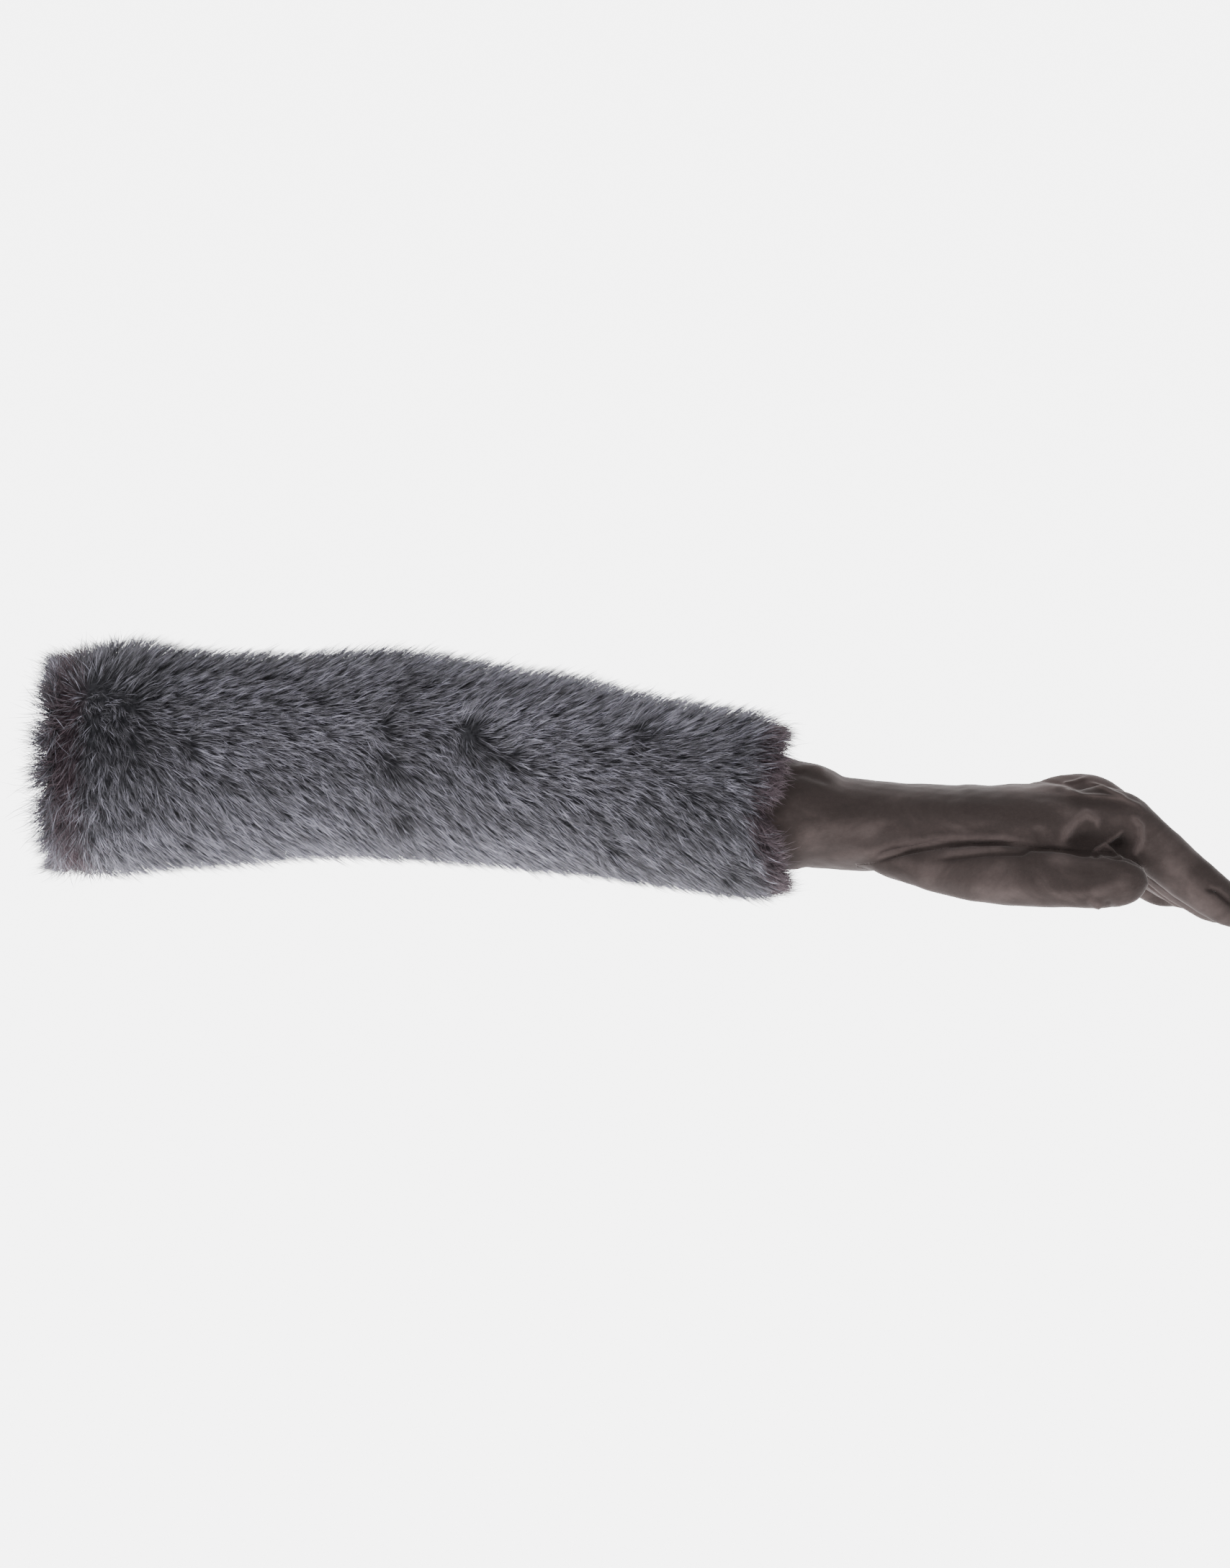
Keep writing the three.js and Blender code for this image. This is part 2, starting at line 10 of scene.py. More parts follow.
import bmesh
import bpy
import numpy as np
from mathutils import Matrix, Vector


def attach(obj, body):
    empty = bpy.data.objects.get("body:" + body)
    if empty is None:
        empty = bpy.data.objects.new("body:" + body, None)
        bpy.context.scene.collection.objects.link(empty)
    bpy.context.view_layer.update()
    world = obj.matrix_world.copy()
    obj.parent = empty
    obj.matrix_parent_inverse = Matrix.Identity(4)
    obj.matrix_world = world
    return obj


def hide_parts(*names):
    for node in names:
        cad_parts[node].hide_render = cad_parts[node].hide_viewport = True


MM = 0.001
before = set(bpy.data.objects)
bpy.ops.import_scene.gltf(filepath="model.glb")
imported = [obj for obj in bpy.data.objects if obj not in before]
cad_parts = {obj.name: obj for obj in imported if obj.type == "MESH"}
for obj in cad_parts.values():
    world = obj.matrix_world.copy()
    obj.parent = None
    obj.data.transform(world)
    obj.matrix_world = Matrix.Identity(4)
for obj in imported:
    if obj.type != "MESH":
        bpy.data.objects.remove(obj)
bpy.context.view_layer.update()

# %% [markdown]
# ## Measurements
# A glove is a row of sections along a line. Each table holds a few sections that were measured, and a
# smooth cubic runs through its rows, so any number of sections can be read from it. The sizes are those of
# the solid model, because the fine pieces must lie where the solids do. Only the thumb is 5 mm shorter here,
# and the fingers' tips are a little slimmer, because the photograph shows them so.

# %% The tables
ARM_LENGTH, ARM_DROP, ARM_ACROSS = 381 * MM, 29.2 * MM, 81 * MM
WRIST_TALL, WRIST_WIDE = 43.8 * MM, 60 * MM
PALM_LENGTH, PALM_TALL, PALM_WIDE = 117 * MM, 32 * MM, 85.2 * MM
FINGER_WIDE, FINGER_TALL, FINGER_PITCH = 20 * MM, 24.4 * MM, 21.3 * MM
KNUCKLE_BEND, KNUCKLE_RISE, ROOT_RISE, WEB_LENGTH = 44, 0.123 * WRIST_TALL, 24, 22 * MM
THUMB_LENGTH, THUMB_TALL, THUMB_WIDE = 130 * MM, 26.6 * MM, 25 * MM
WALL, SEAM_GAP, SEAM_LAP, FOURCHETTE_WIDE = 1.2 * MM, 0.005 * MM, 0.8 * MM, 6.6 * MM
# The power of the squared-off oval that cuts out the thumb's piece, where the strips between the fingers
# begin past the knuckles, and the thinnest that a tube may be. Then where the hand's own skin begins, and how
# far the arm's sleeve reaches into it.
SEAM_SQUARE, STRIP_START, THINNEST = 3, WEB_LENGTH - 4.5 * WALL, 0.5 * MM
HAND_START, HAND_LAP = 325 * MM, 4 * MM
CUFF_START, CUFF_LENGTH, PELT_GAP, PELT_STANDOFF = 1 * MM, 340 * MM, 0.6 * MM, 4.4 * MM

# Along the arm; drop of the middle line; how far the height and the width have gone to the wrist's.
ARM = np.array([
    [0.0, 0.0, 0.0, 0.0], [0.196, -0.07, 0.09, 0.13], [0.304, -0.13, 0.2, 0.26], [0.402, -0.15, 0.14, 0.12],
    [0.482, -0.05, 0.18, 0.2], [0.554, 0.06, 0.29, 0.35], [0.625, 0.17, 0.34, 0.45],
    [0.696, 0.35, 0.44, 0.55], [0.768, 0.49, 0.52, 0.64], [0.839, 0.65, 0.61, 0.75],
    [0.875, 0.76, 0.68, 0.8], [0.905, 0.82, 0.76, 0.87], [0.934, 0.85, 0.85, 0.94],
    [0.955, 0.94, 0.97, 0.99], [0.969, 0.965, 1.0, 1.0], [1.0, 1.0, 1.0, 1.0]])
# Along the palm; rise over the wrist; height and width on their way to the palm's; power of the rounding.
PALM = np.array([
    [0.0, 0.0, 0.0, 0.0, 2.0], [0.116, 0.008, 0.26, 0.1, 2.1], [0.232, 0.032, 0.55, 0.28, 2.2],
    [0.406, 0.055, 0.89, 0.6, 2.4], [0.58, 0.07, 1.0, 0.9, 2.5], [0.754, 0.07, 1.0, 1.0, 2.5],
    [0.899, 0.062, 1.06, 1.0, 2.5]])
# Along the web past the knuckles; its height and width as shares of the palm's.
WEB = np.array([[0.0, 0.87, 0.99], [0.5, 0.72, 0.965], [0.86, 0.5, 0.95], [1.0, 0.28, 0.93]])
# Length; how far back and how low the knuckle is; its place across; height, width, bend, lift and fan.
FINGERS = {
    "index": (82.5 * MM, 0.027, 0.0, -1.5, 1.0, 1.0, 0.99, 22, -1.7),
    "middle": (89 * MM, 0.095, -0.27, -0.5, 0.98, 1.0, 1.03, 23, -0.5),
    "ring": (81 * MM, 0.116, -0.2, 0.5, 0.93, 0.98, 1.03, 30, 0.7),
    "little": (70 * MM, 0.125, -0.04, 1.5, 0.8, 0.9, 1.16, 44, 2.4)}
PAIRS = (("index", "middle"), ("middle", "ring"), ("ring", "little"))
FINGER_SIZES = np.array([
    [-0.34, 0.66], [-0.22, 0.84], [-0.1, 1.0], [0.01, 1.02], [0.11, 1.02], [0.22, 1.0], [0.4, 1.0],
    [0.58, 0.95], [0.74, 0.87], [0.86, 0.79], [0.935, 0.75], [0.98, 0.72], [1.0, 0.72]])
# Along the thumb; how low and how far out its middle is; height and width; height of its seam.
THUMB = np.array([
    [0.0, 0.33, 0.13, 0.3, 0.5, -0.93], [0.139, 0.415, 0.235, 0.6, 1.06, 0.66],
    [0.264, 0.44, 0.285, 0.91, 1.2, 0.76], [0.466, 0.49, 0.35, 1.145, 1.2, 0.93],
    [0.642, 0.56, 0.43, 1.0, 1.04, 1.06], [0.819, 0.575, 0.505, 0.97, 0.94, 1.06],
    [1.0, 0.58, 0.56, 0.9, 0.86, 1.06]])
# Along the cuff; how far the pelt stands off the suede, and how far it is lifted, as shares of the standoff.
PELT = np.array([
    [0.0, 0.1, 0.0], [0.06, 0.5, 0.15], [0.1, 0.5, 0.4], [0.17, 0.12, 0.2], [0.25, 0.0, 0.0],
    [0.57, 0.0, 0.0], [0.64, 0.25, -0.2], [0.72, 0.25, -0.05], [0.8, 0.3, -0.2], [0.9, 0.65, -0.2],
    [1.0, 1.0, 0.4]])


def read(table, column, at):
    """A column of a table at any place: a cubic through the rows, with each row's slope taken from its
    neighbours. Places past the ends read the ends."""
    key, value = table[:, 0], table[:, column]
    at = np.clip(at, key[0], key[-1])
    i = np.clip(np.searchsorted(key, at) - 1, 0, len(key) - 2)
    before, after = np.maximum(np.arange(len(key)) - 1, 0), np.minimum(np.arange(len(key)) + 1, len(key) - 1)
    slope = (value[after] - value[before]) / (key[after] - key[before])
    span = key[i + 1] - key[i]
    t = (at - key[i]) / span
    return (
        (2 * t**3 - 3 * t**2 + 1) * value[i] + (t**3 - 2 * t**2 + t) * span * slope[i]
        + (3 * t**2 - 2 * t**3) * value[i + 1] + (t**3 - t**2) * span * slope[i + 1])


def ease(start, end, x):
    """0 before start, 1 past end, and the smooth curve 3t^2 - 2t^3 between them."""
    t = np.clip((x - start) / (end - start), 0, 1)
    return t * t * (3 - 2 * t)


def mix(a, b, t):
    """A straight mix of a and b by the share t."""
    return a + (b - a) * t


def arm_at(x):
    """Height of the arm's middle, half its width and half its height at a place along X."""
    at = x / ARM_LENGTH
    return (
        -ARM_DROP * read(ARM, 1, at), mix(ARM_ACROSS, WRIST_WIDE, read(ARM, 3, at)) / 2,
        mix(ARM_ACROSS, WRIST_TALL, read(ARM, 2, at)) / 2)


print("At the wrist the arm's middle, half width and half height are", *np.round(arm_at(np.array([0.37])), 4))

# %% [markdown]
# ## Tubes
# The arm, palm, fingers and thumb are tubes: an oval carried along a line and scaled on its way. One could
# model each by hand from a cylinder. A formula is better here, because the same tube is needed three times:
# as the outer skin, as the hollow inside the wall, and as the region that cuts out the thumb's piece.


# %% Tubes from sections
def along_path(centres):
    """Ahead, side and up at each centre: ahead goes from the centre before to the one after, side is the
    sideways direction made square to it, and up is their cross product."""
    ahead = np.gradient(centres, axis=0)
    ahead /= np.linalg.norm(ahead, axis=1, keepdims=True)
    side = np.array([0.0, 1.0, 0.0]) - ahead * ahead[:, 1:2]
    side /= np.linalg.norm(side, axis=1, keepdims=True)
    return ahead, side, np.cross(ahead, side)


def tube_points(centres, wide, tall, square, sides):
    """A grid of points, one row for each centre. A point is the centre, plus side times half the width
    times the power 2/square of a cosine, plus up times half the height times that power of a sine."""
    _, side, up = along_path(centres)
    turn = 2 * np.pi * np.arange(sides) / sides
    power, wide, tall = (
        np.broadcast_to(value, len(centres))[:, None] for value in (2 / np.asarray(square), wide, tall))
    across = np.sign(np.cos(turn)) * np.abs(np.cos(turn)) ** power * wide
    high = np.sign(np.sin(turn)) * np.abs(np.sin(turn)) ** power * tall
    return centres[:, None] + side[:, None] * across[..., None] + up[:, None] * high[..., None]


def tube_faces(rows, sides, first=0):
    """The quads of a closed grid: each joins a point, the next one round, and the same two a row on."""
    i, k = np.meshgrid(np.arange(rows - 1), np.arange(sides), indexing="ij")
    a, b = i * sides + k, i * sides + (k + 1) % sides
    return np.stack([a, b, b + sides, a + sides], -1).reshape(-1, 4) + first


def ring_faces(rows, sides):
    """The quads of a grid that closes both round and lengthwise, as the skin of a ring does."""
    i, k = np.meshgrid(np.arange(rows), np.arange(sides), indexing="ij")
    a, b, after = i * sides + k, i * sides + (k + 1) % sides, (i + 1) % rows * sides
    return np.stack([a, after + k, after + (k + 1) % sides, b], -1).reshape(-1, 4).tolist()


def make_mesh(name, points, faces):
    """A mesh object at the origin from arrays of points and faces, faces with smooth shading."""
    mesh = bpy.data.meshes.new(name)
    mesh.from_pydata(np.asarray(points, float).reshape(-1, 3).tolist(), [], faces)
    mesh.polygons.foreach_set("use_smooth", np.ones(len(mesh.polygons), bool))
    mesh.update()
    thing = bpy.data.objects.new(name, mesh)
    bpy.context.collection.objects.link(thing)
    return thing


def closed_tubes(name, grids):
    """One mesh of closed tubes: each grid's quads, with a many-sided face over both of its ends."""
    points, faces, first = [], [], 0
    for grid in grids:
        rows, sides = grid.shape[:2]
        faces += tube_faces(rows, sides, first).tolist()
        faces.append(list(range(first + sides - 1, first - 1, -1)))
        faces.append(list(range(first + (rows - 1) * sides, first + rows * sides)))
        points.append(grid.reshape(-1, 3))
        first += rows * sides
    return make_mesh(name, np.concatenate(points), faces)


print("A tube of 10 rows and 8 sides has", len(tube_faces(10, 8)), "quads round it")

# %% [markdown]
# ## The lines of the hand
# The palm flattens from the round wrist and its web bends down with the fingers. Each finger's line starts
# inside the palm, rises to the knuckle and bends down from it, and its tip turns up a little. The thumb
# leaves the heel of the hand low down and runs under the palm's near edge.


# %% Sections of the palm and the fingers
def palm_tube(start, grow, steps=90):
    """Centres and sizes of the arm's end, palm and web. The centre follows the tables by distance along X,
    and past the knuckles goes down at an angle that grows from half the bend to all of it."""
    x = np.linspace(start, ARM_LENGTH, 30, endpoint=False)
    z, wide, tall = arm_at(x)
    t = np.linspace(0, PALM[-1, 0], steps - 30)
    xp, zp = ARM_LENGTH + t * PALM_LENGTH, -ARM_DROP + read(PALM, 1, t) * WRIST_TALL
    w = np.linspace(0, 1, 16)
    slope = np.radians(KNUCKLE_BEND * (0.5 + 0.5 * w))
    xw = ARM_LENGTH + PALM_LENGTH + w * WEB_LENGTH * np.cos(slope)
    zw = zp[-1] - 0.12 * PALM_TALL - w * WEB_LENGTH * np.sin(slope)
    centres = np.stack([np.r_[x, xp, xw], np.zeros(30 + len(t) + 16), np.r_[z, zp, zw]], -1)
    wide = np.r_[wide, mix(WRIST_WIDE, PALM_WIDE, read(PALM, 3, t)) / 2, read(WEB, 2, w) * PALM_WIDE / 2]
    tall = np.r_[tall, mix(WRIST_TALL, PALM_TALL, read(PALM, 2, t)) / 2, read(WEB, 1, w) * PALM_TALL / 2]
    square = np.r_[np.full(30, 2.0), read(PALM, 4, t), np.full(16, 2.4)]
    return centres, wide + grow, tall + grow, square


def round_tip(at, share):
    """The part of its full size that a round tip has: the height of a quarter circle over the last share."""
    t = np.clip((at - (1 - share)) / share, 0, 1)
    return np.sqrt(np.maximum(1 - t * t, 0.02))


def finger_tube(name, grow, rings=56):
    """A finger's centres and sizes. Its slope is the bend, eased in over the knuckle, less the rise of the
    root and the lift of the tip, which grows with the cube of the distance. Summed up it gives the line."""
    length, back, low, place, tall, wide, bend, lift, fan = FINGERS[name]
    d = np.linspace(-0.34, 1, 400) * length
    slope = np.radians(
        bend * KNUCKLE_BEND * ease(-9 * MM, 13 * MM, d) - ROOT_RISE * (1 - ease(-30 * MM, -10 * MM, d))
        - lift * np.maximum(d / length, 0) ** 3)
    fans = np.radians(fan) * (d > 0)
    step = np.stack([np.cos(slope) * np.cos(fans), np.sin(fans), -np.sin(slope) * np.cos(fans)], -1)
    line = np.cumsum(step, 0) * (d[1] - d[0])
    knuckle = np.array([
        ARM_LENGTH + PALM_LENGTH * (1 - back), place * FINGER_PITCH,
        -ARM_DROP + KNUCKLE_RISE - low * FINGER_TALL])
    line += knuckle - line[np.argmin(np.abs(d))]
    at = np.sin(np.linspace(0, 1, rings) * np.pi / 2) * 1.34 - 0.34
    if grow < 0:
        at = np.minimum(at, 1 + grow / length)
    centres = np.stack([np.interp(at * length, d, line[:, k]) for k in range(3)], -1)
    size = read(FINGER_SIZES, 1, at) * round_tip(at, 0.62 * FINGER_TALL / length)
    return (
        centres, np.maximum(wide * FINGER_WIDE * size / 2 + grow, THINNEST),
        np.maximum(tall * FINGER_TALL * size / 2 + grow, THINNEST), 2.0)


print("The index finger's line ends at", *np.round(finger_tube("index", 0)[0][-1], 3))


# %% Sections of the thumb
def thumb_tube(grow, rings=72):
    """The thumb's centres and sizes, and the height of its seam over each centre."""
    at = np.sin(np.linspace(0, 1, rings) * np.pi / 2) ** 1.1
    if grow < 0:
        at = np.minimum(at, 1 + grow / THUMB_LENGTH)
    centres = np.stack([
        ARM_LENGTH - 0.013 * PALM_LENGTH + at * THUMB_LENGTH, -read(THUMB, 2, at) * PALM_WIDE,
        -ARM_DROP - read(THUMB, 1, at) * WRIST_TALL], -1)
    tip = round_tip(at, 0.6 * THUMB_TALL / THUMB_LENGTH)
    wide, tall = read(THUMB, 4, at) * THUMB_WIDE * tip / 2, read(THUMB, 3, at) * THUMB_TALL * tip / 2
    return centres, wide + grow, tall + grow, 2.1, read(THUMB, 5, at) * tall


print("The thumb's line ends at", *np.round(thumb_tube(0)[0][-1], 3))


# %% The knuckles and the hand's tubes
def knuckle_frame():
    """The middle of the row of knuckles, and the ways ahead and up of the fingers that are bent there."""
    slope = np.radians(KNUCKLE_BEND)
    middle = np.array([ARM_LENGTH + PALM_LENGTH, 0, -ARM_DROP + KNUCKLE_RISE])
    return middle, np.array([np.cos(slope), 0, -np.sin(slope)]), np.array([np.sin(slope), 0, np.cos(slope)])


def between(one, two):
    """Where the middle between two neighbouring fingers lies across the hand, and their mean fan."""
    place, fan = ((FINGERS[one][k] + FINGERS[two][k]) / 2 for k in (3, 8))
    return place * FINGER_PITCH, np.radians(fan)


def seam_oval(tall, seams):
    """How far the thumb's piece has its middle over the thumb's line, and half its height: it reaches from
    under the thumb up to its seam."""
    low = -tall - SEAM_LAP
    return (seams + low) / 2, np.maximum((seams - low) / 2, THINNEST)


def crotch_tube():
    """The fold of skin that fills the valley between the palm's near edge and the thumb: a thin tube along
    a bent line, round at both ends like the square root of 4t(1 - t)."""
    t = np.linspace(0, 1, 32)
    x = 428 + 87 * t
    centres = np.stack([x, -27 - 11 * np.sqrt(t), -37.5 - 3 * t - 8 * t**5], -1) * MM
    size = 5.2 * MM * np.sqrt(np.maximum(4 * t * (1 - t), 0.02))
    return centres, size, size, 2.0


def hand_solid(name, start, grow, sides=64):
    """All the tubes of the hand as one mesh of closed tubes, moved out by the distance grow."""
    parts = [palm_tube(start, grow), thumb_tube(grow)[:4]] + [finger_tube(f, grow) for f in FINGERS]
    if grow == 0:
        parts.append(crotch_tube())
    return closed_tubes(name, [tube_points(*part, sides) for part in parts])


hand = hand_solid("hand", HAND_START, 0)
inside = hand_solid("inside", HAND_START - HAND_LAP, -WALL, sides=40)
print("The hand's tubes have", len(hand.data.polygons), "faces before they are joined")

# %% [markdown]
# ## One skin
# Real suede is one sheet that is drawn over the hand, so the tubes must melt into each other with soft
# hollows between them. A voxel remesh does that: it fills the tubes with small cubes, keeps only the outer
# surface and so joins them. A light smoothing then takes off the steps that the cubes leave.


# %% Helpers for meshes
def applied(thing, **modifiers):
    """Gives the object the mesh that it has with these modifiers, each a type with its settings."""
    for kind, settings in modifiers.items():
        made = thing.modifiers.new(kind, kind)
        for key, value in settings.items():
            setattr(made, key, value)
    shape = bpy.data.meshes.new_from_object(thing.evaluated_get(bpy.context.evaluated_depsgraph_get()))
    thing.modifiers.clear()
    old, thing.data = thing.data, shape
    bpy.data.meshes.remove(old)
    return thing


def array_of(things, name, width, kind=float):
    """Reads one property of all vertices or edges into an array with one row for each."""
    out = np.empty(len(things) * width, kind)
    things.foreach_get(name, out)
    return out.reshape(-1, width) if width > 1 else out


def points_of(thing):
    """The mesh's points, one row for each."""
    return array_of(thing.data.vertices, "co", 3)


def normals_of(thing):
    """The direction of the skin at each point."""
    return array_of(thing.data.vertex_normals, "vector", 3)


def moved(thing, points):
    """Gives the mesh new places for its points."""
    thing.data.vertices.foreach_set("co", points.ravel())
    thing.data.update()


def smooth(points, edges, times, share=0.5):
    """Moves each point a share of the way to the mean of its neighbours, a number of times over."""
    count = np.bincount(edges.ravel(), minlength=len(points))[:, None]
    for _ in range(times):
        total = np.stack([
            np.bincount(edges[:, 0], points[edges[:, 1], k], len(points))
            + np.bincount(edges[:, 1], points[edges[:, 0], k], len(points)) for k in range(3)], -1)
        points = points + share * (total / count - points)
    return points


def finer(thing, marked):
    """Halves every edge whose two ends are marked, so that thin folds have enough points."""
    work = bmesh.new()
    work.from_mesh(thing.data)
    mine = marked[array_of(thing.data.edges, "vertices", 2, np.int32)].all(1)
    bmesh.ops.subdivide_edges(work, edges=list(compress(work.edges, mine)), cuts=1, use_grid_fill=True)
    work.to_mesh(thing.data)
    work.free()


def smoothed(thing, times):
    """Smooths the object's own points."""
    moved(thing, smooth(points_of(thing), array_of(thing.data.edges, "vertices", 2, np.int32), times))


print("The inner tubes have", len(points_of(inside)), "points")

# %% Joining the tubes
OUTER_VOXEL, INNER_VOXEL = 1.1 * MM, 2.2 * MM
applied(hand, REMESH=dict(mode="VOXEL", voxel_size=OUTER_VOXEL, use_smooth_shade=True))
applied(inside, REMESH=dict(mode="VOXEL", voxel_size=INNER_VOXEL, use_smooth_shade=True))
smoothed(hand, 15)
# The near side is made finer where it is folded: by the knuckles, along the thumb's seam, at the index tip.
x, y, z = points_of(hand).T / MM
near_side = (y < 2) & (normals_of(hand)[:, 1] < 0.15)
folded = np.hypot((x - 488) / 46, (z + 32) / 30) < 1
sewn = (np.abs(z + 42 - 6 * np.sin((x - 380) / 26)) < 9) & (x > 384) & (x < 450)
tipped = np.hypot((x - 546) / 13, (z + 62) / 11) < 1
finer(hand, near_side & (folded | sewn | tipped))
smoothed(hand, 4)
print("The joined skin has", len(hand.data.vertices), "points")

# %% [markdown]
# ## Folds and dents
# Worn suede shows where the hand bends: long soft ridges over the knuckles, hollows beside the thumb and
# short creases in the palm. They could be sculpted by hand. Here each is a named line or spot in the side
# view with a width and a height, and the near side of the skin is pressed in or raised along it.

# %% The tables of folds and dents
# The camera's distance and the middle of its picture, because the folds are placed as it sees them.
DISTANCE, PICTURE_MIDDLE = 2.2, np.array([263.2, -9.5]) * MM
FOLD_STRENGTH = 1.25
# Each fold: its points as (X, Z) in millimetres, its half width and its height, both in millimetres.
FOLDS = {
    "knuckle ridge": ([(440, -9), (456, -9.5), (472, -12), (484, -14)], 4.5, 1.4),
    "back ridge": ([
        (455, -9.8), (465.5, -11.5), (475, -13.3), (485, -14.9), (495, -15.6), (503, -16.8),
        (510, -19.6), (516, -25)], 1.1, 0.9),
    "over the back ridge": (
        [(458, -7.8), (466, -9.3), (475, -11), (485, -12.6), (494, -13.3), (503, -14.4)], 1.3, -0.45),
    "under the back ridge": ([(452, -13), (476, -17), (495, -19), (508, -23)], 2.8, -0.6),
    "knuckle start": ([(424, -8), (434, -6), (446, -4), (456, -3)], 4.5, 1.8),
    "first knuckle fold": ([(474, -11), (478, -9.6), (482, -8), (487, -6.3)], 1.0, 0.9),
    "second knuckle fold": ([(485, -8.6), (493, -11.2), (499, -14), (506, -16.8)], 1.0, 1.0),
    "wrist fold": ([(346, -3), (352, -1.5), (358, -2), (364, -4)], 1.4, 0.8),
    "under the wrist fold": ([(344, -5), (352, -4.5), (360, -7), (367, -10)], 2.2, -0.7),
    "wrist drape": ([(349, -34), (362, -30), (378, -29), (394, -31)], 5, 0.6),
    "heel drape": ([(360, -47), (376, -43), (392, -41), (404, -43)], 3, 0.45),
    "palm's edge": (
        [(382, -46.4), (391, -42.4), (404, -38.6), (419, -35.6), (431, -34.8), (445, -34.9), (454, -36.6),
         (464, -38)], 1.9, 1.1),
    "under the palm's edge": (
        [(384, -47), (392, -44.6), (404, -41), (419, -38.4), (431, -37.6), (445, -37.8), (455, -39.4)],
        0.9, -0.9),
    "over the palm's edge": ([(400, -35), (416, -32), (432, -31), (448, -31)], 2.6, -0.4),
    "gusset crease": ([(411, -46), (425, -44.5), (438, -43), (455, -42.5), (460, -41)], 1.2, -0.9),
    "over the gusset": ([(416, -42), (428, -40.4), (440, -39.4), (452, -39.6)], 1.4, 0.6),
    "thumb crotch": (
        [(453, -43.2), (460, -40), (469, -39.8), (479, -41.2), (493, -42.6), (504.5, -44.6), (511, -48),
         (514, -52)], 1.1, -0.9),
    "hollow's left ridge": (
        [(473, -40), (477, -32), (481.5, -26.5), (486, -23.6), (490.5, -26.5), (492, -33)], 2.0, 1.7),
    "hollow's middle ridge": ([(486, -43), (492, -39.8), (496, -36.9), (500, -34.1), (504, -30.5)], 1.0, 1.6),
    "hollow's right ridge": (
        [(506, -23), (511.5, -29.5), (511.8, -35.5), (509, -41), (507.5, -45)], 1.5, 1.5),
    "first crotch fold": ([(493.5, -37.8), (499, -41.2), (504, -44.6)], 0.8, 1.4),
    "second crotch fold": ([(489, -40), (491.5, -41.6), (494, -43.6)], 0.8, 0.7),
    "index seam": ([(512, -54.5), (520, -61), (526, -65.4), (533, -70)], 0.9, 0.8),
    "index tip seam": ([(541, -58.6), (547, -60.6), (551, -63.8), (558, -70)], 0.9, -1.0),
    "over the index tip seam": ([(543, -56.8), (549, -59.2), (555, -63.8)], 1.2, 0.5),
    "thumb nick": ([(486, -63), (490, -66), (493, -68.5)], 1.5, 0.9),
    "past the thumb nick": ([(495, -64), (497, -66.5), (499, -69)], 1.4, -0.7),
    "thumb tip drape": ([(486, -60), (496, -57.5), (505, -53)], 3, 0.5),
    "index drape": ([(520, -40), (530, -50), (541, -60)], 3.4, 0.5),
}
# Each dent: its middle (X, Z), its half length and half height, its depth and the angle of its length.
DENTS = {
    "hollow by the thumb": ((484.5, -38), 5.5, 4.5, 2.6, 0),
    "hollow by the index": ((501, -39), 3.4, 4.2, 2.6, -15),
    "hollow in the crotch": ((490.5, -43), 2.2, 1.5, 1.0, 0),
    "soft palm": ((456, -27), 20, 7, 0.9, 5),
    "under the index": ((518, -36), 8, 4, 0.6, -50),
    "index middle": ((536, -53), 6, 6, 0.6, -45),
    "wrist hollow": ((372, -20), 16, 6, 0.7, -8),
    "back of the hand": ((428, -18), 24, 5, 0.5, 0),
    "thumb's belly": ((458, -56), 20, 5, -0.7, 6),
    "thumb's waist": ((487, -54), 5, 8, 0.6, 10),
}
print("There are", len(FOLDS), "folds and", len(DENTS), "dents")


# %% The height of the folds
def to_line(points, line):
    """Distance of each (X, Z) point to a line of straight parts, and how far along the line the nearest
    place is, from 0 to 1."""
    nearest, along = np.full(len(points), 1e9), np.zeros(len(points))
    for k, (a, b) in enumerate(zip(line[:-1], line[1:])):
        t = np.clip(((points - a) @ (b - a)) / ((b - a) @ (b - a)), 0, 1)
        gap = np.linalg.norm(points - a - t[:, None] * (b - a), axis=1)
        closer = gap < nearest
        nearest[closer], along[closer] = gap[closer], (k + t[closer]) / (len(line) - 1)
    return nearest, along


def seen(points):
    """(X, Z) of each point as the camera sees it on the plane through the arm's middle: the distance from
    the picture's middle, times the camera's distance to that plane over its distance to the point."""
    nearer = DISTANCE / (DISTANCE + points[:, 1:2])
    return PICTURE_MIDDLE + (points[:, [0, 2]] - PICTURE_MIDDLE) * nearer


def spot(flat, middle, long, tall, angle):
    """A bell curve in both directions round a middle, all in millimetres: the exponential of minus the
    squares of the distance along its angle over its half length and of that across over its half height."""
    c, s = np.cos(np.radians(angle)), np.sin(np.radians(angle))
    away = flat / MM - np.array(middle)
    u, v = away[:, 0] * c + away[:, 1] * s, away[:, 1] * c - away[:, 0] * s
    return np.exp(-((u / long) ** 2) - (v / tall) ** 2)


def fold_height(points):
    """Sum over the folds of height times a bell curve of the distance, faded out at both ends of the line,
    less the sum over the dents of depth times a spot."""
    flat, total = seen(points), np.zeros(len(points))
    for line, half, height in FOLDS.values():
        gap, along = to_line(flat, np.array(line) * MM)
        bell = np.exp(-((gap / (half * MM)) ** 2))
        total += FOLD_STRENGTH * height * MM * bell * ease(0, 0.2, along) * ease(0, 0.25, 1 - along)
    for middle, long, tall, depth, angle in DENTS.values():
        total -= depth * MM * spot(flat, middle, long, tall, angle)
    return total


